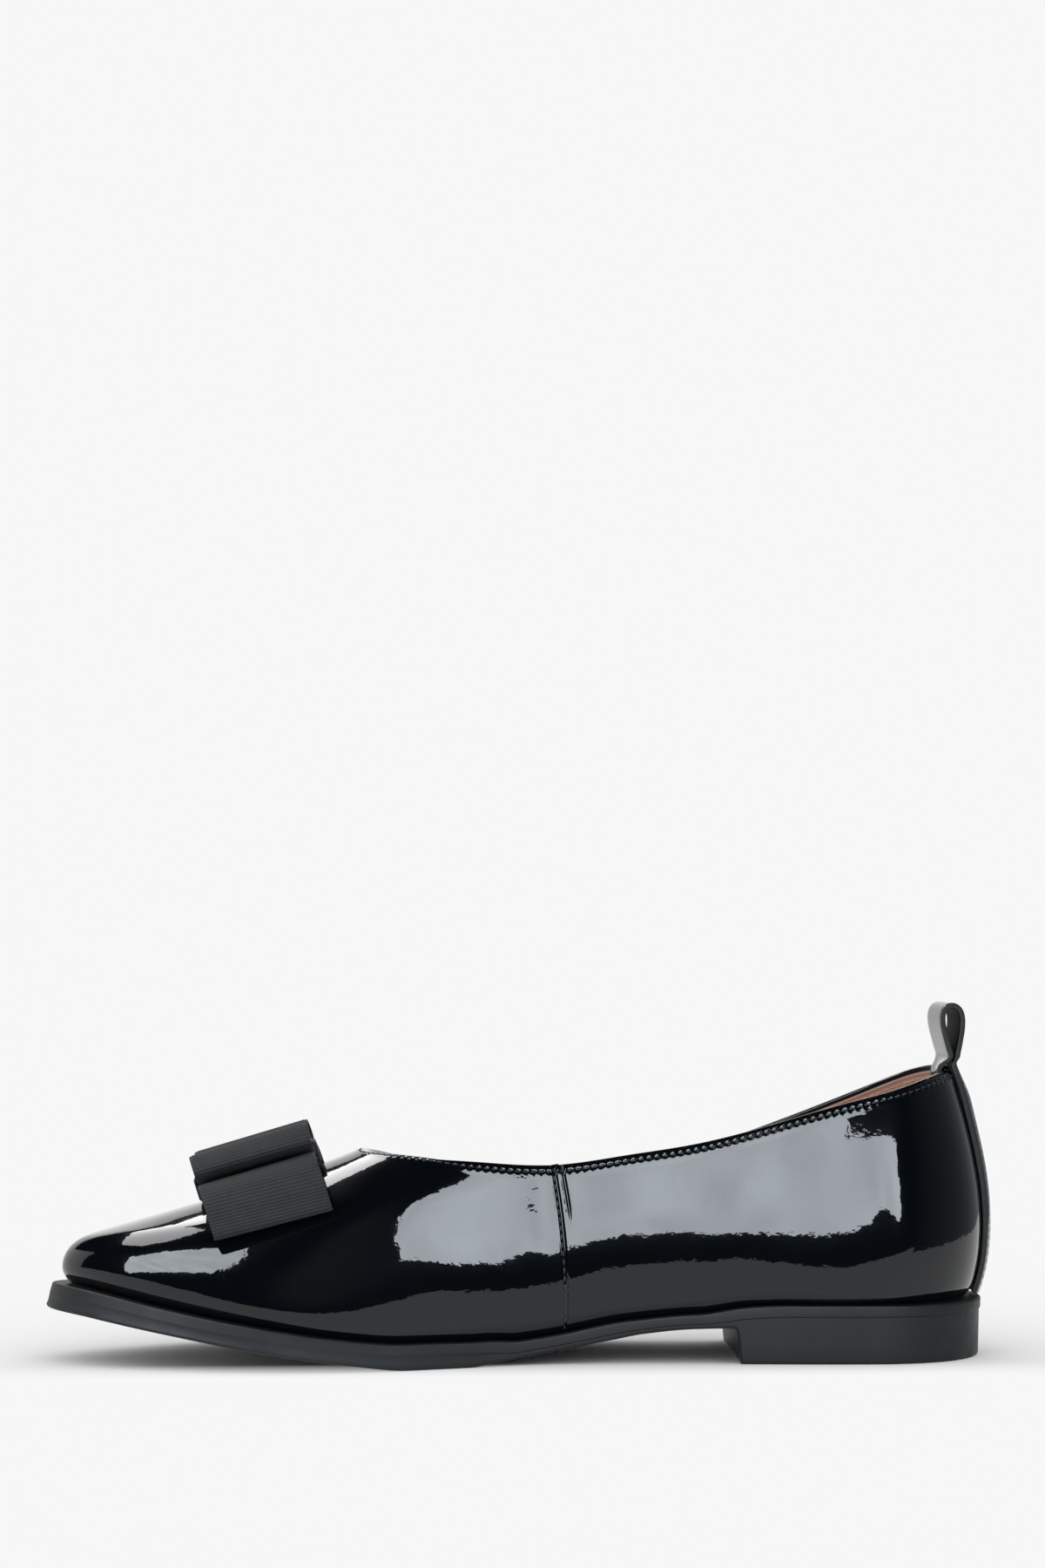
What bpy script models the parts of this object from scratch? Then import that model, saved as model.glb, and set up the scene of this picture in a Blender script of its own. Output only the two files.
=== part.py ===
"""Ballet flat in patent leather with a ribbon bow: the right shoe, EU size 38.

Frame: metres, +Z up, toe towards -X, the wearer's inner (medial) side towards -Y. The origin lies on the
floor under the middle of the heel. Lengths along the shoe are counted from the back of the heel towards the
toe and are called stations. The upper and the sole are worked out from one plan outline and from short
tables, one row for each section, whose lengths are shares of the sizes named below.
"""

import math

import bmesh
import bpy
import numpy as np

# Plan of the sole
LENGTH = 0.2587
HEEL_WIDTH = 0.0575
WAIST_WIDTH = 0.0575
BALL_WIDTH = 0.0835
TOE_WIDTH = 0.0770
HEEL_ROUND = 0.030
TOE_ROUND = 0.070
HEEL_POWER = 2.1
TOE_POWER = 1.65

# Sole seen from the side
TOE_SPRING = 0.0143
ARCH_RISE = 0.0098
HEEL_SEAT = 0.0162
HEEL_LENGTH = 0.069
FOREPART_SOLE = 0.0070
WAIST_SOLE = 0.0042
RIM_BAND = 0.0030
RIM_STEP = 0.00035
BAND_SHARE = 0.6
LIP_EDGE = 0.0005
FLOOR_EDGE = 0.0007
TOE_FLARE = 0.0016
BREAST_SLANT = 0.0010
BREAST_FILLET = 0.0012

# Ledge of the sole that shows round the upper
RIM_HEEL = 0.0032
RIM_WAIST = 0.0015
RIM_BALL = 0.0020
RIM_TOE = 0.0036

# Bend of the whole shoe towards the inner side in front of the waist
TOE_SWING = 0.0035
SWING_START = 0.35
SWING_POWER = 1.6

# Upper, heights above the floor
BACK_HEIGHT = 0.0790
SIDE_HEIGHT = 0.0539
THROAT_HEIGHT = 0.0578
TOE_HEIGHT = 0.0312
CONE_HEIGHT = 0.0910
LATERAL_DIP = 0.0072
VAMP_LENGTH = 0.0864
CROWN = 0.0180
CROWN_POWER = 2.2
WALL_ROUND = 0.0140
TOE_WALL_ROUND = 0.0090
HEEL_BULGE = 0.0040
SIDE_BULGE = 0.0014
UPPER_WALL = 0.0020
SEAM_STATION = 0.117
SEAM_STEP = 0.0005
SEAM_WIDTH = 0.0004
SEAM_FADE = 0.012
SEAM_RISE = 0.002
INSOLE_THICK = 0.0028
INSOLE_EDGE = 0.0006

# Heel strap and its pull loop
STRAP_WIDTH = 0.0120
STRAP_THICK = 0.0016
LOOP_HEIGHT = 0.0190
LOOP_WIDTH = 0.0072
LOOP_LEAN = 0.0006
LOOP_TWIST = math.radians(11.0)
INNER_LEG = 0.0120

# Bow
RIBBON_WIDTH = 0.0330
RIBBON_THICK = 0.0008
BOW_FROM_TOE = 0.0582
LOWER_HALF = 0.0343
UPPER_HALF = 0.0245
LOWER_RISE = 0.0050
UPPER_RISE = 0.0122
LOOP_SWEEP = 0.0009
LOOP_DROP = 0.0010
BAND_WIDTH = 0.0110
BAND_BULGE = 0.0012
BAND_CORNER = 0.0008

# Gap between pieces that touch
GAP = 0.0003

# Rows up the upper, and how much closer together they lie near the sole
UPPER_ROWS = 12
ROW_CLUSTER = 1.35

# Steps round each outline: heel, side and toe
SOLE_STEPS = (7, 23, 12)
UPPER_STEPS = (8, 24, 14)
INSOLE_STEPS = (6, 14, 9)

# Steps along the strap and round each ring of ribbon
STRAP_STEPS = 84
LOWER_STEPS = 76
UPPER_RING_STEPS = 64
CORNER_STEPS = 4

MEDIAL, LATERAL = -1, 1
THROAT = LENGTH - VAMP_LENGTH
SPINE_HEEL = HEEL_ROUND
SPINE_TOE = LENGTH - 0.8 * TOE_ROUND

# Station as a share of the length, then the two half widths
PLAN = (
    (0.000, 0.490 * HEEL_WIDTH, 0.490 * HEEL_WIDTH),
    (0.120, 0.505 * HEEL_WIDTH, 0.500 * HEEL_WIDTH),
    (0.210, 0.490 * HEEL_WIDTH, 0.525 * HEEL_WIDTH),
    (0.300, 0.445 * WAIST_WIDTH, 0.545 * WAIST_WIDTH),
    (0.400, 0.415 * WAIST_WIDTH, 0.560 * WAIST_WIDTH),
    (0.490, 0.450 * WAIST_WIDTH, 0.605 * WAIST_WIDTH),
    (0.580, 0.385 * BALL_WIDTH, 0.465 * BALL_WIDTH),
    (0.650, 0.450 * BALL_WIDTH, 0.500 * BALL_WIDTH),
    (0.720, 0.490 * BALL_WIDTH, 0.510 * BALL_WIDTH),
    (0.790, 0.500 * BALL_WIDTH, 0.498 * BALL_WIDTH),
    (0.880, 0.530 * TOE_WIDTH, 0.500 * TOE_WIDTH),
    (1.000, 0.510 * TOE_WIDTH, 0.460 * TOE_WIDTH),
)

# Station as a share of the length, height of the underside, thickness, and lean of the side outwards below
SOLE = (
    (0.000, ARCH_RISE, HEEL_SEAT - ARCH_RISE, -0.20 * TOE_FLARE),
    (0.215, ARCH_RISE, HEEL_SEAT - ARCH_RISE, -0.20 * TOE_FLARE),
    (0.260, ARCH_RISE, 0.91 * (HEEL_SEAT - ARCH_RISE), 0.0),
    (0.314, 0.965 * ARCH_RISE, 0.98 * WAIST_SOLE, 0.0),
    (0.368, 0.830 * ARCH_RISE, WAIST_SOLE, 0.0),
    (0.405, 0.650 * ARCH_RISE, 1.12 * WAIST_SOLE, 0.0),
    (0.460, 0.385 * ARCH_RISE, 1.07 * WAIST_SOLE, 0.05 * TOE_FLARE),
    (0.498, 0.225 * ARCH_RISE, 1.12 * WAIST_SOLE, 0.10 * TOE_FLARE),
    (0.535, 0.075 * ARCH_RISE, 0.90 * FOREPART_SOLE, 0.25 * TOE_FLARE),
    (0.555, 0.0, 0.99 * FOREPART_SOLE, 0.40 * TOE_FLARE),
    (0.620, 0.0, 1.02 * FOREPART_SOLE, 0.50 * TOE_FLARE),
    (0.680, 0.125 * TOE_SPRING, 0.95 * FOREPART_SOLE, 0.60 * TOE_FLARE),
    (0.770, 0.370 * TOE_SPRING, 0.94 * FOREPART_SOLE, 0.70 * TOE_FLARE),
    (0.829, 0.553 * TOE_SPRING, 0.92 * FOREPART_SOLE, 0.78 * TOE_FLARE),
    (0.866, 0.665 * TOE_SPRING, 0.93 * FOREPART_SOLE, 0.85 * TOE_FLARE),
    (0.903, 0.773 * TOE_SPRING, 0.955 * FOREPART_SOLE, 0.92 * TOE_FLARE),
    (0.940, 0.881 * TOE_SPRING, 0.985 * FOREPART_SOLE, 0.97 * TOE_FLARE),
    (0.965, 0.945 * TOE_SPRING, FOREPART_SOLE, 1.00 * TOE_FLARE),
    (1.000, TOE_SPRING, 0.99 * FOREPART_SOLE, 1.00 * TOE_FLARE),
)

# Station as a share of the length, then how far the upper stands in from the sole's edge
RIM = (
    (0.000, RIM_WAIST),
    (0.250, RIM_WAIST),
    (0.450, RIM_WAIST),
    (0.700, RIM_BALL),
    (0.850, 1.25 * RIM_BALL),
    (1.000, RIM_TOE),
)

# Last: station as a share of the length, ridge height, and fall of the crown from the ridge to the edge
LAST = (
    (0.000, CONE_HEIGHT, 0.00 * CROWN),
    (0.150, CONE_HEIGHT, 0.00 * CROWN),
    (0.300, 0.880 * CONE_HEIGHT, 0.10 * CROWN),
    (0.450, 0.810 * CONE_HEIGHT, 0.35 * CROWN),
    (0.540, 1.180 * THROAT_HEIGHT, 0.75 * CROWN),
    (THROAT / LENGTH, THROAT_HEIGHT, CROWN),
    (0.750, 0.860 * THROAT_HEIGHT, CROWN),
    (0.830, 0.755 * THROAT_HEIGHT, 0.80 * CROWN),
    (0.905, 1.220 * TOE_HEIGHT, 0.55 * CROWN),
    (1.000, TOE_HEIGHT, 0.35 * CROWN),
)

# Wall of the last: station as a share of the length, radius and power of its rounding into the top, bulge,
# and height over which the bulge dies away
WALL = (
    (0.000, 0.86 * WALL_ROUND, 2.0, HEEL_BULGE, 0.98 * BACK_HEIGHT),
    (0.150, 0.88 * WALL_ROUND, 2.0, 0.90 * HEEL_BULGE, 0.95 * BACK_HEIGHT),
    (0.300, 0.94 * WALL_ROUND, 2.0, 0.60 * HEEL_BULGE, 0.80 * BACK_HEIGHT),
    (0.450, WALL_ROUND, 2.0, 1.20 * SIDE_BULGE, 0.60 * BACK_HEIGHT),
    (0.540, WALL_ROUND, 2.1, SIDE_BULGE, 0.60 * THROAT_HEIGHT),
    (THROAT / LENGTH, WALL_ROUND, 2.2, SIDE_BULGE, 0.48 * THROAT_HEIGHT),
    (0.750, WALL_ROUND, 2.3, SIDE_BULGE, 0.42 * THROAT_HEIGHT),
    (0.830, 0.90 * WALL_ROUND, 2.5, SIDE_BULGE, 0.80 * TOE_HEIGHT),
    (0.905, 1.10 * TOE_WALL_ROUND, 2.8, 0.90 * SIDE_BULGE, 0.70 * TOE_HEIGHT),
    (1.000, TOE_WALL_ROUND, 3.0, 0.80 * SIDE_BULGE, 0.60 * TOE_HEIGHT),
)

# Station as a share of the way to the throat, height of the inner topline, and drop of the outer one below it
TOPLINE = (
    (0.000, BACK_HEIGHT, 0.00 * LATERAL_DIP),
    (0.056, SIDE_HEIGHT + 0.940 * (BACK_HEIGHT - SIDE_HEIGHT), -0.18 * LATERAL_DIP),
    (0.138, SIDE_HEIGHT + 0.837 * (BACK_HEIGHT - SIDE_HEIGHT), 0.00 * LATERAL_DIP),
    (0.234, SIDE_HEIGHT + 0.677 * (BACK_HEIGHT - SIDE_HEIGHT), 0.35 * LATERAL_DIP),
    (0.346, SIDE_HEIGHT + 0.458 * (BACK_HEIGHT - SIDE_HEIGHT), 0.62 * LATERAL_DIP),
    (0.472, SIDE_HEIGHT + 0.231 * (BACK_HEIGHT - SIDE_HEIGHT), 0.84 * LATERAL_DIP),
    (0.582, SIDE_HEIGHT + 0.105 * (BACK_HEIGHT - SIDE_HEIGHT), 0.97 * LATERAL_DIP),
    (0.705, SIDE_HEIGHT, 1.00 * LATERAL_DIP),
    (0.800, SIDE_HEIGHT + 0.270 * (THROAT_HEIGHT - SIDE_HEIGHT), 0.92 * LATERAL_DIP),
    (0.880, SIDE_HEIGHT + 0.700 * (THROAT_HEIGHT - SIDE_HEIGHT), 0.76 * LATERAL_DIP),
    (0.950, SIDE_HEIGHT + 0.980 * (THROAT_HEIGHT - SIDE_HEIGHT), 0.44 * LATERAL_DIP),
    (1.000, THROAT_HEIGHT, 0.00 * LATERAL_DIP),
)

# Where a line up the upper's wall starts at the sole, as a share of the way from the heel to the toe, and where
# it ends on the topline, as a share of the way to the throat
FAN = (
    (0.000, 0.000),
    (0.150, 0.225),
    (0.300, 0.449),
    (0.450, 0.691),
    (0.550, 0.796),
    (0.650, 0.867),
    (0.750, 0.925),
    (0.850, 0.968),
    (0.940, 0.992),
    (1.000, 1.000),
)

# Pull loop above the collar, one side: height as a share of the loop's height, and distance from the middle
# as a share of the way from the neck's half width to the loop's
LOOP_SIDE = (
    (0.22, 0.00),
    (0.36, 0.10),
    (0.58, 0.78),
    (0.74, 1.00),
    (0.90, 0.72),
    (0.98, 0.10),
)

# Run of the lower tier along the vamp: share of the half length, and clearance as a share of the middle's
LOWER_RUN = (
    (0.36, 0.75),
    (0.54, 0.55),
    (0.70, 0.55),
    (0.83, 0.75),
)

# Shares of the upper tier's half length at which its lower run rests on the lower tier
UPPER_RUN = (0.0, 0.22, 0.40, 0.58, 0.75, 0.91)

# End of the lower tier's loop: share of the half length, and height above the last run point
LOWER_END = (
    (0.930, -0.50 * LOWER_RISE),
    (0.980, -0.44 * LOWER_RISE),
    (1.000, 0.10 * LOWER_RISE),
)

# Upper run of each tier of the bow: share of the half length, and height as a share of the tier's rise
LOWER_TOP = (
    (0.99, 0.00),
    (0.94, 0.60),
    (0.84, 0.94),
    (0.66, 1.02),
    (0.42, 0.90),
)
UPPER_TOP = (
    (0.93, 0.86),
    (0.80, 1.00),
    (0.58, 0.93),
    (0.40, 0.68),
)


def column(table, index):
    return np.array([row[index] for row in table], float)


def hermite(x, y, slope, at):
    """The cubic curve through the knots (x, y) with the given slopes."""
    at = np.clip(np.asarray(at, float), x[0], x[-1])
    i = np.clip(np.searchsorted(x, at) - 1, 0, len(x) - 2)
    step = x[i + 1] - x[i]
    t = (at - x[i]) / step
    rise = y[i + 1] - y[i]
    first = slope[i] * step - rise
    last = rise - slope[i + 1] * step
    return y[i] + rise * t + t * (1 - t) * (first * (1 - t) + last * t)


def smooth(table, index):
    """A natural cubic spline through one column of a table, which bends evenly from row to row."""
    x, y = column(table, 0), column(table, index)
    h, rise = np.diff(x), np.diff(y) / np.diff(x)
    left, right = np.eye(len(x)) * 2.0, np.zeros(len(x))
    left[0, 1] = left[-1, -2] = 1.0
    right[0], right[-1] = 3 * rise[0], 3 * rise[-1]
    for i in range(1, len(x) - 1):
        left[i, i - 1 : i + 2] = h[i], 2 * (h[i - 1] + h[i]), h[i - 1]
        right[i] = 3 * (h[i] * rise[i - 1] + h[i - 1] * rise[i])
    slope = np.linalg.solve(left, right)
    return lambda at: hermite(x, y, slope, at)


def monotone(table, index):
    """A curve through one column of a table that never swings past its rows, so level rows stay level."""
    x, y = column(table, 0), column(table, index)
    rise = np.diff(y) / np.diff(x)
    slope = np.concatenate([rise[:1], np.zeros(len(x) - 2), rise[-1:]])
    same = rise[:-1] * rise[1:] > 0
    total = np.where(same, rise[:-1] + rise[1:], 1.0)
    slope[1:-1] = np.where(same, 2 * rise[:-1] * rise[1:] / total, 0.0)
    return lambda at: hermite(x, y, slope, at)


plan_medial, plan_lateral = smooth(PLAN, 1), smooth(PLAN, 2)
sole_bottom, sole_thick, sole_flare = monotone(SOLE, 1), monotone(SOLE, 2), monotone(SOLE, 3)
rim_width = monotone(RIM, 1)
ridge, crown = smooth(LAST, 1), smooth(LAST, 2)
wall_round, wall_power = smooth(WALL, 1), smooth(WALL, 2)
bulge, bulge_reach = smooth(WALL, 3), smooth(WALL, 4)
topline_height, topline_dip = smooth(TOPLINE, 1), smooth(TOPLINE, 2)
fan_end = monotone(FAN, 1)


def underside(station):
    """Height of the sole's underside in front of the heel."""
    return sole_bottom(station / LENGTH)


def topside(station):
    """Height of the sole's top, which is level under the heel."""
    return underside(station) + sole_thick(station / LENGTH)


def half_width(station, side, inset, heel_end, toe_end, closed=True):
    """Half width of an outline that runs from station heel_end to toe_end, inset from the sole's edge."""
    station, side = np.asarray(station, float), np.asarray(side)
    share = station / LENGTH
    width = np.where(side == MEDIAL, plan_medial(share), plan_lateral(share)) - inset
    if not closed:
        return width
    heel = np.clip((heel_end + HEEL_ROUND - station) / HEEL_ROUND, 0, 1)
    toe = np.clip((station - toe_end + TOE_ROUND) / TOE_ROUND, 0, 1)
    width = width * (1 - heel**HEEL_POWER) ** (1 / HEEL_POWER)
    return width * (1 - toe**TOE_POWER) ** (1 / TOE_POWER)


def stations(heel_end, toe_end, heel_steps, middle, toe_steps):
    """Stations from the heel's end to the toe's, closer together where the outline turns."""
    turn = np.linspace(0, math.pi / 2, heel_steps + 1)[:-1]
    heel = heel_end + HEEL_ROUND * (1 - np.cos(turn))
    turn = np.linspace(math.pi / 2, 0, toe_steps + 1)
    toe = toe_end - TOE_ROUND * (1 - np.cos(turn))
    return np.concatenate([heel, middle, toe])


def swing(station):
    """How far the shoe's middle line lies towards the inner side."""
    ahead = np.clip((station / LENGTH - SWING_START) / (1 - SWING_START), 0, 1.1)
    return TOE_SWING * ahead**SWING_POWER


def place(station, y, z):
    """World points from stations, distances from the middle line and heights."""
    station, y, z = np.broadcast_arrays(station, y, z)
    return np.stack([HEEL_LENGTH / 2 - station, y - swing(station), z], axis=-1)


FEATHER_HEEL, FEATHER_TOE = RIM_HEEL, LENGTH - RIM_TOE


def feather(station, side, inset=0.0):
    """Half width of the line where the upper meets the sole, or of one inset from it."""
    rim = rim_width(np.asarray(station) / LENGTH) + inset
    return half_width(station, side, rim, FEATHER_HEEL + inset, FEATHER_TOE - inset)


def feather_height(station):
    return topside(station) + GAP


def upper_height(station, y):
    """Height of the last's surface over a point of the plan: a crowned top rounded down to the feather line."""
    station, y = np.broadcast_arrays(np.asarray(station, float), np.asarray(y, float))
    share, side = station / LENGTH, np.where(y < 0, MEDIAL, LATERAL)
    width = half_width(station, side, rim_width(share), FEATHER_HEEL, FEATHER_TOE, closed=False)
    across = np.abs(y) / width
    heel = np.clip((FEATHER_HEEL + HEEL_ROUND - station) / HEEL_ROUND, 0, 1)
    toe = np.clip((station - FEATHER_TOE + TOE_ROUND) / TOE_ROUND, 0, 1)
    reach = np.where(
        heel > 0,
        (across**HEEL_POWER + heel**HEEL_POWER) ** (1 / HEEL_POWER),
        (across**TOE_POWER + toe**TOE_POWER) ** (1 / TOE_POWER),
    )
    radius = np.hypot(np.hypot(heel * HEEL_ROUND, toe * TOE_ROUND), y)
    inside = np.clip(1 - reach, 0, 1) * radius / np.maximum(reach, 1e-6)
    inside = np.where(reach < 0.3, width, inside)
    turn = np.clip(inside / wall_round(share), 0, 1)
    power = wall_power(share)
    rise = (1 - (1 - turn) ** power) ** (1 / power)
    base = feather_height(station)
    top = ridge(share) - crown(share) * np.minimum(across, 1) ** CROWN_POWER
    return base + (top - base) * rise


def topline_point(feather_station, side):
    """Plan position of the topline above a feather station: where the last reaches the topline's height."""
    along = (feather_station - FEATHER_HEEL) / (FEATHER_TOE - FEATHER_HEEL)
    start = FEATHER_HEEL + float(fan_end(along)) * (THROAT - FEATHER_HEEL)
    spine = max(start, FEATHER_HEEL + HEEL_ROUND)
    edge = side * float(feather(start, side))
    outer, inner = 1.0, 0.0
    for _ in range(40):
        share = (outer + inner) / 2
        station, y = spine + share * (start - spine), share * edge
        share_back = station / THROAT
        wanted = topline_height(share_back) - (side == LATERAL) * topline_dip(share_back)
        if upper_height(station, y) < wanted:
            outer = share
        else:
            inner = share
    return station, y


def outward(station, side, closed_turn):
    """Unit vector in the plan, square to the feather line."""
    step = 1e-5
    before = max(station - step, FEATHER_HEEL)
    after = min(station + step, FEATHER_TOE)
    slope = side * (float(feather(after, side)) - float(feather(before, side))) / (after - before)
    normal = np.array([-slope * side, float(side)])
    if closed_turn:
        normal = np.array([-1.0 if station < LENGTH / 2 else 1.0, 0.0])
    return normal / np.linalg.norm(normal)


def upper_column(station, side, rows, seam_step):
    """Points up the outside of the upper, from the feather line to the topline."""
    at_end = station <= FEATHER_HEEL or station >= FEATHER_TOE
    y = side * float(feather(station, side))
    top_station, top_y = topline_point(station, side)
    share = np.linspace(0, 1, 160) ** 3
    along = station + share * (top_station - station)
    across = y + share * (top_y - y)
    height = upper_height(along, across)
    height[0] = feather_height(station)
    rise = height - height[0]
    reach = np.clip(rise / bulge_reach(along / LENGTH), 0, 1)
    swell = bulge(along / LENGTH) * 6.75 * reach * (1 - reach) ** 2
    swell += seam_step * np.clip(rise / SEAM_RISE, 0, 1)
    normal = outward(station, side, at_end)
    path = np.stack([along + normal[0] * swell, across + normal[1] * swell, height], axis=-1)
    length = np.concatenate([[0], np.cumsum(np.linalg.norm(np.diff(path, axis=0), axis=1))])
    even = length[-1] * np.linspace(0, 1, rows) ** ROW_CLUSTER
    return np.stack([np.interp(even, length, path[:, k]) for k in range(3)], axis=-1)


def mesh_object(name, points, faces, material, sharp=35.0):
    mesh = bpy.data.meshes.new(name)
    mesh.from_pydata([tuple(p) for p in points], [], faces)
    shape = bmesh.new()
    shape.from_mesh(mesh)
    bmesh.ops.remove_doubles(shape, verts=shape.verts, dist=1e-6)
    bmesh.ops.dissolve_degenerate(shape, edges=shape.edges, dist=1e-6)
    bmesh.ops.triangulate(shape, faces=shape.faces)
    bmesh.ops.recalc_face_normals(shape, faces=shape.faces)
    shape.to_mesh(mesh)
    shape.free()
    mesh.shade_smooth()
    mesh.set_sharp_from_angle(angle=math.radians(sharp))
    mesh.materials.append(material)
    result = bpy.data.objects.new(name, mesh)
    bpy.context.collection.objects.link(result)
    return result


def skin(rings, closed_along):
    """Quads between closed rings of points; closed_along joins the last ring to the first."""
    count, size = len(rings), len(rings[0])
    points = np.concatenate(rings)
    faces = []
    for i in range(count if closed_along else count - 1):
        j = (i + 1) % count
        for k in range(size):
            m = (k + 1) % size
            faces.append((i * size + k, i * size + m, j * size + m, j * size + k))
    return points, faces


def around(heel_end, toe_end, middle, steps):
    """Stations and sides once round an outline: up the inner side from heel to toe, back down the outer."""
    run = stations(heel_end, toe_end, steps[0], middle, steps[2])
    there = [(station, MEDIAL) for station in run]
    back = [(station, LATERAL) for station in run[::-1][1:-1]]
    return there + back


def material(name, colour, roughness):
    made = bpy.data.materials.new(name)
    made.use_nodes = True
    shader = made.node_tree.nodes["Principled BSDF"]
    shader.inputs["Base Color"].default_value = (*colour, 1.0)
    shader.inputs["Roughness"].default_value = roughness
    shader.inputs["Metallic"].default_value = 0.0
    return made


def build_outsole():
    """One moulded unit: top with a rounded lip, rim band over a small step, leaning side and underside."""
    breast = [HEEL_LENGTH - 0.4 * BREAST_SLANT, HEEL_LENGTH + 0.6 * BREAST_SLANT]
    breast.append(breast[-1] + BREAST_FILLET)
    toe_start = LENGTH - TOE_ROUND
    on_heel_steps = 5
    behind = np.linspace(HEEL_ROUND, breast[0], on_heel_steps)
    ahead = np.linspace(breast[-1], toe_start, SOLE_STEPS[1] - on_heel_steps)[1:-1]
    middle = np.concatenate([behind, breast[1:], ahead])
    rings = []
    for station, side in around(0.0, LENGTH, middle, SOLE_STEPS):
        top, thick = float(topside(station)), float(sole_thick(station / LENGTH))
        bottom = float(underside(station))
        if station < breast[0] + 1e-6:
            thick, bottom = top, 0.0
        elif station < breast[1] + 1e-6:
            thick, bottom = thick + BREAST_FILLET, bottom - BREAST_FILLET
        band = top - min(RIM_BAND, BAND_SHARE * thick)
        flare = float(sole_flare(station / LENGTH))
        profile = (
            (LIP_EDGE, top),
            (0.0, top - LIP_EDGE),
            (0.0, band),
            (RIM_STEP, band - RIM_STEP),
            (RIM_STEP - flare, bottom + FLOOR_EDGE),
            (RIM_STEP - flare + FLOOR_EDGE, bottom),
        )
        spine = min(max(station, SPINE_HEEL), SPINE_TOE)
        ring = [(spine, 0.0, float(topside(spine)))]
        for inset, z in profile:
            at = inset + (station / LENGTH) * (LENGTH - 2 * inset)
            ring.append((at, side * float(half_width(at, side, inset, inset, LENGTH - inset)), z))
        on_heel = spine < breast[0] + 1e-6
        edge_at, edge_y, _ = ring[-1]
        if station >= toe_start or on_heel:
            middle_at = (edge_at + spine) / 2
        else:
            middle_at = edge_at
        middle_z = bottom if not station >= toe_start else float(underside(middle_at))
        spine_z = bottom if spine == station else (0.0 if on_heel else float(underside(spine)))
        ring.append((middle_at, edge_y / 2, middle_z))
        ring.append((spine, 0.0, spine_z))
        rings.append(place(*np.array(ring).T))
    points, faces = skin(rings, closed_along=True)
    size = len(rings[0])
    faces = [face for face in faces if (face[0] % size, face[1] % size) != (size - 1, 0)]
    return mesh_object("outsole", points, faces, material("sole_rubber", (0.025, 0.027, 0.030), 0.62))


def build_upper():
    """Outer skin on the last, inner skin one wall inside it, joined along the topline and the feather line."""
    seam = (SEAM_STATION, SEAM_STATION + SEAM_WIDTH)
    heel_start, toe_start = FEATHER_HEEL + HEEL_ROUND, FEATHER_TOE - TOE_ROUND
    half = UPPER_STEPS[1] // 2
    behind, ahead = np.linspace(heel_start, seam[0], half + 1), np.linspace(seam[1], toe_start, half - 1)[:-1]
    ring = around(FEATHER_HEEL, FEATHER_TOE, np.concatenate([behind, ahead]), UPPER_STEPS)
    plain = np.array([upper_column(station, side, UPPER_ROWS, 0.0) for station, side in ring])
    outer = []
    for station, side in ring:
        ahead = (station - seam[1]) / SEAM_FADE
        step = SEAM_STEP * max(0.0, 1 - ahead) ** 2 if ahead > -1e-9 else 0.0
        outer.append(upper_column(station, side, UPPER_ROWS, step))
    outer = np.array(outer)
    round_way = np.roll(plain, -1, axis=0) - np.roll(plain, 1, axis=0)
    up_way = np.gradient(plain, axis=1)
    normal = np.cross(round_way, up_way)
    normal /= np.linalg.norm(normal, axis=-1, keepdims=True)
    inner = plain - UPPER_WALL * normal
    length = FEATHER_TOE - FEATHER_HEEL
    for index, (station, side) in enumerate(ring):
        share = (station - FEATHER_HEEL) / length
        at = FEATHER_HEEL + UPPER_WALL + share * (length - 2 * UPPER_WALL)
        inner[index, 0] = at, side * float(feather(at, side, UPPER_WALL)), float(feather_height(at))
    rings = [np.concatenate([outer[i], inner[i][::-1]]) for i in range(len(ring))]
    rings = [place(*points.T) for points in rings]
    points, faces = skin(rings, closed_along=True)
    return mesh_object("upper", points, faces, material("patent_leather", (0.008, 0.008, 0.010), 0.12), 50.0)


def build_insole():
    inset = UPPER_WALL + GAP
    heel_end, toe_end = FEATHER_HEEL + inset, FEATHER_TOE - inset
    middle = np.linspace(heel_end + HEEL_ROUND, toe_end - TOE_ROUND, INSOLE_STEPS[1])[:-1]
    rings = []
    for station, side in around(heel_end, toe_end, middle, INSOLE_STEPS):
        spine = min(max(station, SPINE_HEEL), SPINE_TOE)
        ring = [(spine, 0.0, float(topside(spine)) + GAP + INSOLE_THICK)]
        for more, rise in ((INSOLE_EDGE, INSOLE_THICK), (0.0, INSOLE_THICK - INSOLE_EDGE), (0.0, 0.0)):
            share = (station - heel_end) / (toe_end - heel_end)
            at = heel_end + more + share * (toe_end - heel_end - 2 * more)
            y = side * float(feather(at, side, inset + more))
            ring.append((at, y, float(topside(at)) + GAP + rise))
        ring.append((spine, 0.0, float(topside(spine)) + GAP))
        rings.append(place(*np.array(ring).T))
    points, faces = skin(rings, closed_along=True)
    size = len(rings[0])
    faces = [face for face in faces if (face[0] % size, face[1] % size) != (size - 1, 0)]
    return mesh_object("insole", points, faces, material("sock_lining", (0.52, 0.31, 0.24), 0.7))


def smooth_path(points, count):
    """Even points along a natural cubic spline through the given ones."""
    points = np.array(points, float)
    chord = np.concatenate([[0], np.cumsum(np.linalg.norm(np.diff(points, axis=0), axis=1))])
    rows = np.column_stack([chord, points])
    fine = np.linspace(0, chord[-1], 20 * count)
    curve = np.stack([smooth(rows, k + 1)(fine) for k in range(points.shape[1])], axis=-1)
    length = np.concatenate([[0], np.cumsum(np.linalg.norm(np.diff(curve, axis=0), axis=1))])
    even = np.linspace(0, length[-1], count)
    return np.stack([np.interp(even, length, curve[:, k]) for k in range(points.shape[1])], axis=-1)


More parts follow.
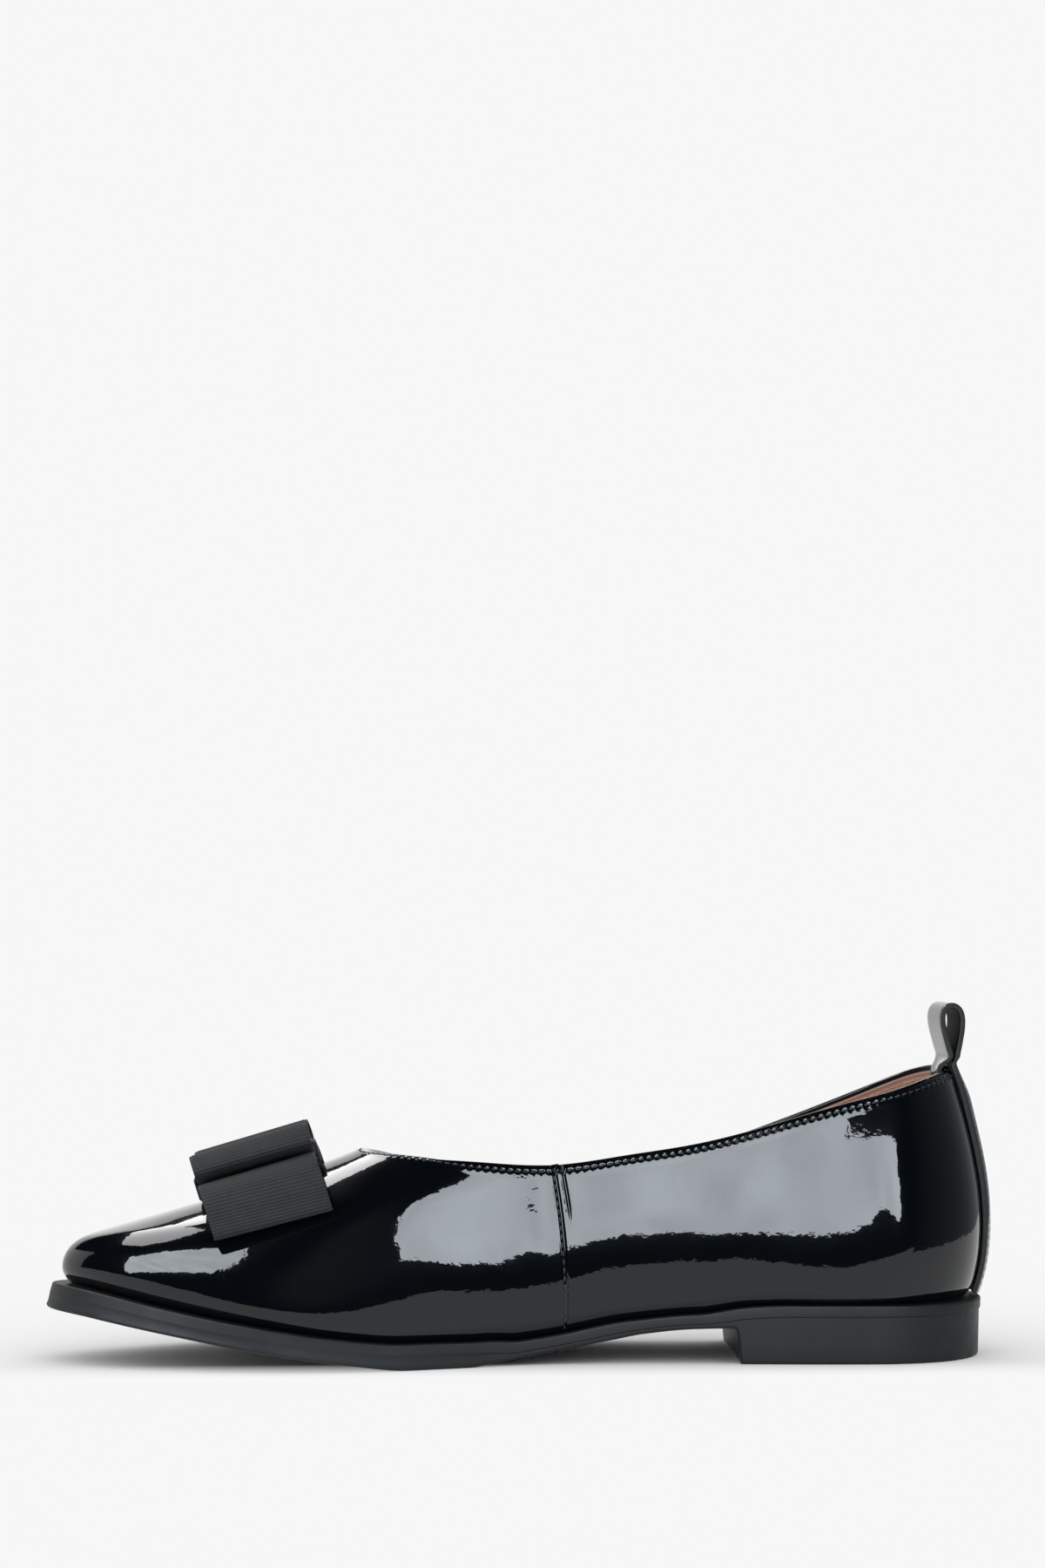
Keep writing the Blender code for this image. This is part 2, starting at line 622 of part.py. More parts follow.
def side_normals(path, closed=False):
    """Unit vectors to the right of a flat path."""
    if closed:
        along = np.roll(path, -1, axis=0) - np.roll(path, 1, axis=0)
    else:
        along = np.gradient(path, axis=0)
    normal = np.stack([along[:, 1], -along[:, 0]], axis=-1)
    return normal / np.linalg.norm(normal, axis=1, keepdims=True)


def back_columns():
    """Columns up the round back of the upper, from its rearmost line outwards."""
    turn = np.linspace(0, 0.35 * math.pi, 7)
    at = FEATHER_HEEL + HEEL_ROUND * (1 - np.cos(turn))
    return [upper_column(station, LATERAL, 40, 0.0) for station in at]


def back_curve(columns, height, inside, y):
    """How far the upper's back, or a line inside it, lies in front of its rearmost point at distances y."""
    plan = np.array([[np.interp(height, points[:, 2], points[:, k]) for k in range(2)] for points in columns])
    along = np.gradient(plan, axis=0)
    along[0] = 0.0, 1.0
    normal = np.stack([along[:, 1], -along[:, 0]], axis=-1) / np.linalg.norm(along, axis=1, keepdims=True)
    line = plan + inside * normal
    return np.interp(np.abs(y), line[:, 1], line[:, 0]) - line[0, 0]


def strap_path():
    """Middle line of the heel strap as (station, height): up the back, round the pull loop and down inside."""
    back = upper_column(FEATHER_HEEL, MEDIAL, 40, 0.0)[:, [0, 2]]
    toward_toe = side_normals(back)
    outer = back - toward_toe * (GAP + STRAP_THICK / 2)
    inner = back + toward_toe * (UPPER_WALL + 2 * GAP + STRAP_THICK / 2)
    rim = np.array([0.0, GAP])
    outer = [*outer[outer[:, 1] > float(topside(0.0)) + 2 * GAP][:-3:5], outer[-1] + rim]
    inner = [inner[-1] + rim, *inner[inner[:, 1] > BACK_HEIGHT - INNER_LEG][::-1][2::3]]
    middle = (back[-1] + toward_toe[-1] * UPPER_WALL / 2)[0]
    neck, half = (STRAP_THICK + 1.2 * GAP) / 2, (LOOP_WIDTH - STRAP_THICK) / 2
    top = LOOP_HEIGHT - STRAP_THICK / 2
    rise, fall = (
        [
            (middle + side * (neck + share * (half - neck)) + up * LOOP_LEAN, BACK_HEIGHT + up * top)
            for up, share in LOOP_SIDE
        ]
        for side in (-1, 1)
    )
    crest = [(middle + LOOP_LEAN, BACK_HEIGHT + top)]
    return smooth_path([*outer, *rise, *crest, *fall[::-1], *inner], STRAP_STEPS), middle


def build_heel_strap():
    path, middle = strap_path()
    toward_toe = side_normals(path)
    columns = back_columns()
    across = np.linspace(-0.5, 0.5, 5) * STRAP_WIDTH
    rings = []
    for (station, height), (normal_s, normal_z) in zip(path, toward_toe):
        above = min(max((height - BACK_HEIGHT) / (0.5 * LOOP_HEIGHT), 0.0), 1.0)
        ease = above * above * (3 - 2 * above)
        inside = UPPER_WALL if station > middle else 0.0
        curve = back_curve(columns, min(height, BACK_HEIGHT), inside, across) * (1 - ease)
        ring = []
        for side, order in ((-0.5, 1), (0.5, -1)):
            s = station + normal_s * side * STRAP_THICK + curve[::order]
            z = np.full(len(across), height + normal_z * side * STRAP_THICK)
            y = across[::order]
            turn = LOOP_TWIST * ease
            turned_s = middle + (s - middle) * math.cos(turn) + y * math.sin(turn)
            turned_y = y * math.cos(turn) - (s - middle) * math.sin(turn)
            ring.append(np.stack([turned_s, turned_y, z], axis=-1))
        rings.append(place(*np.concatenate(ring).T))
    points, faces = skin(rings, closed_along=False)
    size = len(rings[0])
    faces.append(tuple(range(size))[::-1])
    faces.append(tuple(range(len(points) - size, len(points))))
    return mesh_object("heel_strap", points, faces, material("strap_leather", (0.012, 0.013, 0.014), 0.3))


BOW_STATION = LENGTH - BOW_FROM_TOE


def bow_tilt():
    """Slope of the vamp's ridge under the bow."""
    behind, ahead = BOW_STATION - RIBBON_WIDTH / 2, BOW_STATION + RIBBON_WIDTH / 2
    return math.atan2(float(ridge(behind / LENGTH) - ridge(ahead / LENGTH)), RIBBON_WIDTH)


def bow_place(along, y, up):
    """World points from the bow's frame: along the ridge towards the heel, across, and square to it."""
    tilt = bow_tilt()
    station = BOW_STATION - along * math.cos(tilt) + up * math.sin(tilt)
    height = float(ridge(BOW_STATION / LENGTH)) + along * math.sin(tilt) + up * math.cos(tilt)
    return place(station, y, height)


def vamp_under_bow(y):
    """Highest point of the vamp below the ribbon's width, at a distance y from the middle."""
    tilt, base = bow_tilt(), float(ridge(BOW_STATION / LENGTH))
    along = np.linspace(-0.5, 0.5, 9) * (RIBBON_WIDTH + 2 * BAND_BULGE)
    up = np.zeros(len(along))
    for _ in range(12):
        station = BOW_STATION - along * math.cos(tilt) + up * math.sin(tilt)
        up = (upper_height(station, y) - base - along * math.sin(tilt)) / math.cos(tilt)
    return float(up.max())


def closed_path(half, count):
    """Even points round a closed path, from the points of its half at y >= 0, running from bottom to top."""
    half = list(half)
    mirror = [(-y, up) for y, up in half[::-1] if y > 0]
    ring = half + mirror
    wrapped = ring[-4:] + ring + ring[:5]
    points = np.array(wrapped, float)
    chord = np.concatenate([[0], np.cumsum(np.linalg.norm(np.diff(points, axis=0), axis=1))])
    rows = np.column_stack([chord, points])
    at = np.linspace(chord[4], chord[4 + len(ring)], count + 1)[:-1]
    return np.stack([smooth(rows, 1)(at), smooth(rows, 2)(at)], axis=-1)


def lower_half():
    """Half of the lower tier's middle line: along the vamp, round the loop's end and back to the middle."""
    lift = 2 * GAP + 1.5 * RIBBON_THICK
    middle = vamp_under_bow(0.0) + lift
    run = [(0.0, middle), (0.55 * BAND_WIDTH, middle)]
    for share, rise in LOWER_RUN:
        run.append((share * LOWER_HALF, vamp_under_bow(share * LOWER_HALF) + rise * lift))
    end = run[-1][1]
    run += [(share * LOWER_HALF, end + rise) for share, rise in LOWER_END]
    run += [(share * LOWER_HALF, rise * LOWER_RISE) for share, rise in LOWER_TOP]
    top = middle + RIBBON_THICK + GAP
    return run + [(0.6 * BAND_WIDTH, top + 0.1 * RIBBON_THICK), (0.0, top)]


def top_of(path, y):
    """Height of the upper run of a tier's middle line at a distance y from the middle."""
    upper_run = path[: len(path) // 2 + 1]
    upper_run = upper_run[np.argmax(upper_run[:, 0]) :]
    order = np.argsort(upper_run[:, 0])
    return float(np.interp(y, upper_run[order, 0], upper_run[order, 1]))


def upper_half(lower):
    """Half of the upper tier's middle line, which rests on the lower tier."""
    lift = RIBBON_THICK + 1.5 * GAP
    run = [(share * UPPER_HALF, top_of(lower, share * UPPER_HALF) + lift) for share in UPPER_RUN]
    end = run[-1][1]
    run.append((UPPER_HALF, end + 0.48 * (UPPER_RISE - end)))
    run += [(share * UPPER_HALF, rise * UPPER_RISE) for share, rise in UPPER_TOP]
    top = run[0][1] + RIBBON_THICK + GAP
    return run + [(0.24 * UPPER_HALF, top + 0.9 * RIBBON_THICK), (0.0, top)]


def ribbon_ring(name, path, spread, made):
    """A closed strip: a flat path given its thickness, and stretched to its width by the function spread."""
    normal = side_normals(path, closed=True) * RIBBON_THICK / 2
    outer, inner = path + normal, path - normal
    rings = [spread(outer[i], inner[i]) for i in range(len(path))]
    points, faces = skin(rings, closed_along=True)
    return mesh_object(name, points, faces, made)


def tier_spread(outer, inner):
    """The width of a tier, whose loops swing towards the heel and turn down there, the more the further out."""
    reach = RIBBON_WIDTH / 2
    corners = ((-reach, *outer), (reach, *outer), (reach, *inner), (-reach, *inner))
    along, y, up = np.array(corners).T
    out = (y / LOWER_HALF) ** 2
    return bow_place(along + LOOP_SWEEP * out, y, up - LOOP_DROP * out * along / reach)


def band_spread(outer, inner):
    reach = BAND_WIDTH / 2
    corners = ((outer[0], -reach, outer[1]), (outer[0], reach, outer[1]))
    corners += ((inner[0], reach, inner[1]), (inner[0], -reach, inner[1]))
    return bow_place(*np.array(corners).T)


def band_path(low, high):
    """The band's middle line: over the tiers, round their edges in tight corners, and back under them."""
    end = RIBBON_WIDTH / 2 + BAND_BULGE - RIBBON_THICK / 2
    corner_along, corner_up = end - BAND_CORNER, (high - low) / 2 - BAND_CORNER
    path = []
    for quarter, (side, level) in enumerate(((1, 1), (-1, 1), (-1, -1), (1, -1))):
        for turn in np.linspace(quarter, quarter + 1, CORNER_STEPS + 1) * math.pi / 2:
            along = side * corner_along + BAND_CORNER * math.cos(turn)
            path.append((along, (low + high) / 2 + level * corner_up + BAND_CORNER * math.sin(turn)))
        if side * level > 0:
            path += [(side * share * corner_along, high if level > 0 else low) for share in (0.5, 0.0, -0.5)]
    return np.array(path)[::-1]


def build_bow():
    """Two closed rings of ribbon, one on the other, and the band that wraps their middle."""
    ribbon = material("grosgrain", (0.010, 0.010, 0.012), 0.75)
    lower = closed_path(lower_half(), LOWER_STEPS)
    ribbon_ring("bow_lower", lower, tier_spread, ribbon)
    upper = closed_path(upper_half(lower), UPPER_RING_STEPS)
    ribbon_ring("bow_upper", upper, tier_spread, ribbon)
    low = vamp_under_bow(0.0) + GAP + RIBBON_THICK / 2
    high = max(top_of(upper, y) for y in np.linspace(0, BAND_WIDTH / 2, 5)) + RIBBON_THICK + GAP
    ribbon_ring("bow_band", band_path(low, high), band_spread, ribbon)


def clear_scene():
    for thing in list(bpy.data.objects):
        bpy.data.objects.remove(thing, do_unlink=True)


def main():
    clear_scene()
    build_outsole()
    build_upper()
    build_insole()
    build_heel_strap()
    build_bow()


main()
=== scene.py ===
"""Finish of the ballet flat: patent upper, lining, sole, heel strap, ribbon bow, stitching, and the stage.

Metres, +Z up, toe towards -X, the wearer's inner (medial) side towards -Y, origin on the floor under the
middle of the heel. Lengths along the shoe are stations, counted from the back of the heel towards the toe.
The shapes follow the CAD's sizes and tables on finer grids. They leave it by a millimetre or two in these
places: the bulge of the upper's wall, its folded edge, seam groove, dents and turn-in over the sole, the
higher collar at the back, the sole's side along the forepart, the sock's edge, which spreads to the lining,
the strap's crown and pull loop, and the loops of the bow.
"""

import math

import bmesh
import bpy
import numpy as np
from bpy.props import FloatProperty, FloatVectorProperty, IntProperty, PointerProperty
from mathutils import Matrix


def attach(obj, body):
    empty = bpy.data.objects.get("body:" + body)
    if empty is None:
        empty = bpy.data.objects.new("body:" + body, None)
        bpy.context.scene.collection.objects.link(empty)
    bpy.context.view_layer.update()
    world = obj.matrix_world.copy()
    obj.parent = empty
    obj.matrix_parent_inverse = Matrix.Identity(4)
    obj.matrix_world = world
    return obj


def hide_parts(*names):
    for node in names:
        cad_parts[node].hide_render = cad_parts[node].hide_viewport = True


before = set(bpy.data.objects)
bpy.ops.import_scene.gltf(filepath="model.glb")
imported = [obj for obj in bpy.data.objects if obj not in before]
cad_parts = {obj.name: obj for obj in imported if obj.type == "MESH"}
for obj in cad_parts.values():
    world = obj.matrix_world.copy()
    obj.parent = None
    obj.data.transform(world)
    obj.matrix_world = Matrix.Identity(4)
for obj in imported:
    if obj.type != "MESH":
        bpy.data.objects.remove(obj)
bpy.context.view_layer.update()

bl_info = {
    "name": "Ballet flat",
    "version": (1, 0, 0),
    "blender": (4, 5, 0),
    "location": "3D View > Sidebar > Ballet flat",
    "description": "Finish of a patent leather ballet flat with a ribbon bow",
    "category": "Object",
}

# Plan of the sole
LENGTH = 0.2587
HEEL_WIDTH = 0.0575
WAIST_WIDTH = 0.0575
BALL_WIDTH = 0.0835
TOE_WIDTH = 0.0770
HEEL_ROUND = 0.030
TOE_ROUND = 0.070
HEEL_POWER = 2.1
TOE_POWER = 1.65

# Sole seen from the side
TOE_SPRING = 0.0143
ARCH_RISE = 0.0098
HEEL_SEAT = 0.0162
HEEL_LENGTH = 0.069
FOREPART_SOLE = 0.0070
WAIST_SOLE = 0.0042
RIM_BAND = 0.0030
RIM_STEP = 0.00035
BAND_SHARE = 0.6
TOE_FLARE = 0.0016
BREAST_SLANT = 0.0010
BREAST_FILLET = 0.0012
RIM_HEEL = 0.0032
RIM_WAIST = 0.0015
RIM_BALL = 0.0020
RIM_TOE = 0.0036

# Bend of the whole shoe towards the inner side
TOE_SWING = 0.0035
SWING_START = 0.35
SWING_POWER = 1.6

# Upper, heights above the floor
BACK_HEIGHT = 0.0790
COLLAR_HEIGHT = 0.0802
SIDE_HEIGHT = 0.0539
THROAT_HEIGHT = 0.0578
TOE_HEIGHT = 0.0312
CONE_HEIGHT = 0.0910
LATERAL_DIP = 0.0072
VAMP_LENGTH = 0.0864
CROWN = 0.0180
CROWN_POWER = 2.2
WALL_ROUND = 0.0140
TOE_WALL_ROUND = 0.0090
HEEL_BULGE = 0.0040
SIDE_BULGE = 0.0014
UPPER_WALL = 0.0020
SEAM_STATION = 0.117
SEAM_STEP = 0.0005
SEAM_FADE = 0.012
SEAM_RISE = 0.002
TUCK = 0.0012
TUCK_HEIGHT = 0.0040
INSOLE_THICK = 0.0028

# Heel strap and its pull loop
STRAP_WIDTH = 0.0120
STRAP_THICK = 0.0016
LOOP_HEIGHT = 0.0190
LOOP_WIDTH = 0.0072
LOOP_LEAN = 0.0009
LOOP_TWIST = math.radians(11.0)
LOOP_SHIFT = -0.0004
STRAP_CROWN = 0.0010
INNER_LEG = 0.0120

# Bow
RIBBON_WIDTH = 0.0330
RIBBON_THICK = 0.0008
BOW_FROM_TOE = 0.0582
LOWER_HALF = 0.0343
UPPER_HALF = 0.0245
LOWER_RISE = 0.0050
UPPER_RISE = 0.0122
LOOP_SWEEP = 0.0009
LOOP_DROP = 0.0010
BAND_WIDTH = 0.0110
BAND_BULGE = 0.0012
BAND_CORNER = 0.0008

GAP = 0.0003
MEDIAL, LATERAL = -1, 1
THROAT = LENGTH - VAMP_LENGTH
SPINE_HEEL = HEEL_ROUND
SPINE_TOE = LENGTH - 0.8 * TOE_ROUND
FEATHER_HEEL, FEATHER_TOE = RIM_HEEL, LENGTH - RIM_TOE
BOW_STATION = LENGTH - BOW_FROM_TOE

# Camera: lens for a sensor on the longer side, distance from the shoe, height, turn, and place along the shoe
LENS, SENSOR = 107.0, 36.0
CAMERA_DISTANCE = 1.300
CAMERA_HEIGHT = 0.159
CAMERA_TURN = math.radians(2.5)
CAMERA_ALONG = -0.0936

# Station as a share of the length, then the two half widths
PLAN = (
    (0.000, 0.490 * HEEL_WIDTH, 0.490 * HEEL_WIDTH),
    (0.120, 0.505 * HEEL_WIDTH, 0.500 * HEEL_WIDTH),
    (0.210, 0.490 * HEEL_WIDTH, 0.525 * HEEL_WIDTH),
    (0.300, 0.445 * WAIST_WIDTH, 0.545 * WAIST_WIDTH),
    (0.400, 0.415 * WAIST_WIDTH, 0.560 * WAIST_WIDTH),
    (0.490, 0.450 * WAIST_WIDTH, 0.605 * WAIST_WIDTH),
    (0.580, 0.385 * BALL_WIDTH, 0.465 * BALL_WIDTH),
    (0.650, 0.450 * BALL_WIDTH, 0.500 * BALL_WIDTH),
    (0.720, 0.490 * BALL_WIDTH, 0.510 * BALL_WIDTH),
    (0.790, 0.500 * BALL_WIDTH, 0.498 * BALL_WIDTH),
    (0.880, 0.530 * TOE_WIDTH, 0.500 * TOE_WIDTH),
    (1.000, 0.510 * TOE_WIDTH, 0.460 * TOE_WIDTH),
)

# Station as a share of the length, height of the underside, thickness, and lean of the side outwards below
SOLE = (
    (0.000, ARCH_RISE, HEEL_SEAT - ARCH_RISE, -0.20 * TOE_FLARE),
    (0.215, ARCH_RISE, HEEL_SEAT - ARCH_RISE, -0.20 * TOE_FLARE),
    (0.260, ARCH_RISE, 0.91 * (HEEL_SEAT - ARCH_RISE), 0.0),
    (0.314, 0.965 * ARCH_RISE, 0.98 * WAIST_SOLE, 0.0),
    (0.368, 0.830 * ARCH_RISE, WAIST_SOLE, 0.0),
    (0.405, 0.650 * ARCH_RISE, 1.12 * WAIST_SOLE, 0.0),
    (0.460, 0.385 * ARCH_RISE, 1.07 * WAIST_SOLE, 0.05 * TOE_FLARE),
    (0.498, 0.225 * ARCH_RISE, 1.12 * WAIST_SOLE, 0.10 * TOE_FLARE),
    (0.535, 0.075 * ARCH_RISE, 0.90 * FOREPART_SOLE, 0.25 * TOE_FLARE),
    (0.555, 0.0, 0.99 * FOREPART_SOLE, 0.40 * TOE_FLARE),
    (0.620, 0.0, 1.02 * FOREPART_SOLE, 0.50 * TOE_FLARE),
    (0.680, 0.125 * TOE_SPRING, 0.95 * FOREPART_SOLE, 0.60 * TOE_FLARE),
    (0.770, 0.370 * TOE_SPRING, 0.94 * FOREPART_SOLE, 0.70 * TOE_FLARE),
    (0.829, 0.553 * TOE_SPRING, 0.92 * FOREPART_SOLE, 0.78 * TOE_FLARE),
    (0.866, 0.665 * TOE_SPRING, 0.93 * FOREPART_SOLE, 0.85 * TOE_FLARE),
    (0.903, 0.773 * TOE_SPRING, 0.955 * FOREPART_SOLE, 0.92 * TOE_FLARE),
    (0.940, 0.881 * TOE_SPRING, 0.985 * FOREPART_SOLE, 0.97 * TOE_FLARE),
    (0.965, 0.945 * TOE_SPRING, FOREPART_SOLE, 1.00 * TOE_FLARE),
    (1.000, TOE_SPRING, 0.99 * FOREPART_SOLE, 1.00 * TOE_FLARE),
)

# Station as a share of the length, then how far the upper stands in from the sole's edge
RIM = (
    (0.000, RIM_WAIST),
    (0.250, RIM_WAIST),
    (0.450, RIM_WAIST),
    (0.700, RIM_BALL),
    (0.850, 1.25 * RIM_BALL),
    (1.000, RIM_TOE),
)

# Last: station as a share of the length, ridge height, and fall of the crown from the ridge to the edge
LAST = (
    (0.000, CONE_HEIGHT, 0.00 * CROWN),
    (0.150, CONE_HEIGHT, 0.00 * CROWN),
    (0.300, 0.880 * CONE_HEIGHT, 0.10 * CROWN),
    (0.450, 0.810 * CONE_HEIGHT, 0.35 * CROWN),
    (0.540, 1.180 * THROAT_HEIGHT, 0.75 * CROWN),
    (THROAT / LENGTH, THROAT_HEIGHT, CROWN),
    (0.750, 0.860 * THROAT_HEIGHT, CROWN),
    (0.830, 0.755 * THROAT_HEIGHT, 0.80 * CROWN),
    (0.905, 1.220 * TOE_HEIGHT, 0.55 * CROWN),
    (1.000, TOE_HEIGHT, 0.35 * CROWN),
)

# Wall of the last: station as a share of the length, radius and power of its rounding into the top, bulge,
# height over which the bulge dies away, and how low on that height the bulge is fullest (less is lower)
WALL = (
    (0.000, 0.86 * WALL_ROUND, 2.0, HEEL_BULGE, 0.98 * BACK_HEIGHT, 1.00),
    (0.060, 0.87 * WALL_ROUND, 2.0, 1.05 * HEEL_BULGE, 0.97 * BACK_HEIGHT, 0.78),
    (0.150, 0.88 * WALL_ROUND, 2.0, 1.10 * HEEL_BULGE, 0.95 * BACK_HEIGHT, 0.54),
    (0.230, 0.91 * WALL_ROUND, 2.0, 0.95 * HEEL_BULGE, 0.88 * BACK_HEIGHT, 0.60),
    (0.310, 0.94 * WALL_ROUND, 2.0, 0.64 * HEEL_BULGE, 0.80 * BACK_HEIGHT, 0.75),
    (0.400, 0.92 * WALL_ROUND, 2.05, 0.48 * HEEL_BULGE, 0.66 * BACK_HEIGHT, 0.90),
    (0.480, 0.84 * WALL_ROUND, 2.15, 1.60 * SIDE_BULGE, 0.58 * BACK_HEIGHT, 0.90),
    (0.540, 0.74 * WALL_ROUND, 2.4, 1.45 * SIDE_BULGE, 0.70 * THROAT_HEIGHT, 0.90),
    (0.620, 0.62 * WALL_ROUND, 2.8, SIDE_BULGE, 0.60 * THROAT_HEIGHT, 0.90),
    (0.700, 0.75 * WALL_ROUND, 2.6, SIDE_BULGE, 0.45 * THROAT_HEIGHT, 0.80),
    (0.750, 0.86 * WALL_ROUND, 2.5, SIDE_BULGE, 0.42 * THROAT_HEIGHT, 0.80),
    (0.830, 0.90 * WALL_ROUND, 2.5, SIDE_BULGE, 0.80 * TOE_HEIGHT, 0.90),
    (0.905, 1.10 * TOE_WALL_ROUND, 2.8, 0.90 * SIDE_BULGE, 0.70 * TOE_HEIGHT, 1.00),
    (1.000, TOE_WALL_ROUND, 3.0, 0.80 * SIDE_BULGE, 0.60 * TOE_HEIGHT, 1.00),
)

# Station as a share of the way to the throat, height of the inner topline, and drop of the outer one below it
TOPLINE = (
    (0.000, COLLAR_HEIGHT, 0.00 * LATERAL_DIP),
    (0.056, SIDE_HEIGHT + 1.005 * (BACK_HEIGHT - SIDE_HEIGHT), -0.12 * LATERAL_DIP),
    (0.138, SIDE_HEIGHT + 0.849 * (BACK_HEIGHT - SIDE_HEIGHT), 0.00 * LATERAL_DIP),
    (0.234, SIDE_HEIGHT + 0.677 * (BACK_HEIGHT - SIDE_HEIGHT), 0.35 * LATERAL_DIP),
    (0.346, SIDE_HEIGHT + 0.458 * (BACK_HEIGHT - SIDE_HEIGHT), 0.62 * LATERAL_DIP),
    (0.472, SIDE_HEIGHT + 0.231 * (BACK_HEIGHT - SIDE_HEIGHT), 0.84 * LATERAL_DIP),
    (0.582, SIDE_HEIGHT + 0.105 * (BACK_HEIGHT - SIDE_HEIGHT), 0.97 * LATERAL_DIP),
    (0.705, SIDE_HEIGHT, 1.00 * LATERAL_DIP),
    (0.800, SIDE_HEIGHT + 0.270 * (THROAT_HEIGHT - SIDE_HEIGHT), 0.92 * LATERAL_DIP),
    (0.880, SIDE_HEIGHT + 0.700 * (THROAT_HEIGHT - SIDE_HEIGHT), 0.76 * LATERAL_DIP),
    (0.950, SIDE_HEIGHT + 0.980 * (THROAT_HEIGHT - SIDE_HEIGHT), 0.44 * LATERAL_DIP),
    (1.000, THROAT_HEIGHT, 0.00 * LATERAL_DIP),
)

# Where a line up the upper's wall starts at the sole, and where it ends on the topline, as shares of the ways
FAN = (
    (0.000, 0.000),
    (0.150, 0.225),
    (0.300, 0.449),
    (0.450, 0.691),
    (0.550, 0.796),
    (0.650, 0.867),
    (0.750, 0.925),
    (0.850, 0.968),
    (0.940, 0.992),
    (1.000, 1.000),
)

# Pull loop above the collar, one side: height and distance from the middle, as shares
LOOP_SIDE = (
    (0.24, 0.00), (0.33, 0.22), (0.46, 0.54), (0.60, 0.86), (0.77, 1.05), (0.88, 0.92), (0.955, 0.50),
)

# Tiers of the bow: share of the half length, then clearance, drop or height as a share of its own size
LOWER_RUN = ((0.36, 0.75), (0.54, 0.55), (0.70, 0.55), (0.83, 0.75))
LOWER_END = ((0.930, -0.50), (0.980, -0.44), (1.000, 0.10))
LOWER_TOP = ((0.99, 0.00), (0.94, 0.60), (0.84, 0.94), (0.66, 1.02), (0.42, 0.90))
UPPER_RUN = (0.0, 0.22, 0.40, 0.58, 0.75, 0.91)
UPPER_TOP = ((0.96, 0.83), (0.82, 1.00), (0.58, 0.93), (0.40, 0.68))

# Spread of the sock's top edge as a share of its half width, at stations from the heel
SOCK_SPREAD = ((0.000, 0.020, 0.060, 0.100, 0.140), (0.080, 0.085, 0.075, 0.045, 0.020))

# Soft dents and swells of the leather: station, height, reach along and up, and depth, on the inner side
DENTS = (
    (0.024, 0.060, 0.010, 0.012, 0.00030),
    (0.100, 0.047, 0.020, 0.006, 0.00015),
    (0.150, 0.030, 0.020, 0.010, -0.00020),
)

# Front softbox in the plane in front of the shoe: outlines of its panels as place along the shoe and height
SOFTBOX_PLANE = -0.43
SOFTBOX_FRONT = {
    "softbox_front_low": (
        (-0.24, 0.100), (-0.10, 0.104), (0.00, 0.112), (0.05, 0.142), (0.10, 0.141), (0.15, 0.127),
        (0.195, 0.110), (0.205, 0.140), (0.205, 0.205), (-0.24, 0.205),
    ),
    "softbox_front_left": ((-0.24, 0.205), (0.000, 0.205), (-0.016, 0.250), (-0.03, 0.36), (-0.24, 0.36)),
    "softbox_front_right": (
        (0.060, 0.205), (0.205, 0.205), (0.205, 0.255), (0.170, 0.278), (0.110, 0.285), (0.070, 0.285),
        (0.040, 0.240),
    ),
}

# Black flags close in front of the shoe, which keep the softbox off parts of the vamp and of the heel
FLAG_PLANE = -0.10
FLAGS = {
    "flag": (
        (-0.20, 0.026), (-0.104, 0.026), (-0.094, 0.036), (-0.094, 0.055), (-0.100, 0.064), (-0.103, 0.075),
        (-0.104, 0.097), (-0.104, 0.30), (-0.20, 0.30),
    ),
    "flag_heel": ((0.004, 0.0885), (0.080, 0.0885), (0.080, 0.150), (0.004, 0.150)),
}

# Softboxes for the toe: their corners as seen from it, as a turn from the front towards the heel and a rise
SOFTBOX_SIDE = (
    (-67, 5), (-57, 15), (-47, 25), (-36, 35), (-31, 44), (-30, 52), (-35, 58), (-47, 58), (-55, 52),
    (-64, 42), (-71, 30),
)
SOFTBOX_HIGH = (
    (-172, 31), (-157, 38), (-141, 47), (-117, 49), (-96, 45), (-79, 47), (-79, 62), (-95, 68), (-111, 70),
    (-140, 63), (-153, 53), (-172, 50),
)

# Stage: reach of the floor, half width and height of the walls of cards, height where the high ones start,
# and depth at which the left and right walls stop. The floor turns into a glow of the backdrop's brightness
# over
# FLOOR_FAR, distances from the camera's aim, which also paints light over the outer edge of the shoe's
# shadow, and over FLOOR_FRONT, depths, which paints light over the floor in front of the shoe where its
# shadow would fall.
FLOOR_REACH = 12.0
ROOM, ROOM_HEIGHT, HIGH_START = 2.4, 3.0, 1.3
LEFT_END, RIGHT_END = 0.3, -0.7
FLOOR_FAR = (0.13, 0.36)
FLOOR_FRONT = (-0.050, -0.022)
HEEL_CARD = ((0.36, -0.42, 0.0), (0.36, 0.80, 0.0), (0.36, 0.80, 0.9), (0.36, -0.42, 0.9))
HEEL_CARD_FADE = (-0.42, 0.30)

# Distance within which points of a mesh are one, and the factor that makes a bulge full height: 27/4
MERGE = 2e-6
BULGE_SCALE = 6.75

# Depths inside the outer skin: of the upper's inner face, and of the lining's two faces
SKIN_DEPTH = 0.0011
LINING_BACK, LINING_FRONT = 0.0012, 0.0021

# Rows of the upper's grid that lie close together along the folded edge
CLOSE_ROWS = 15


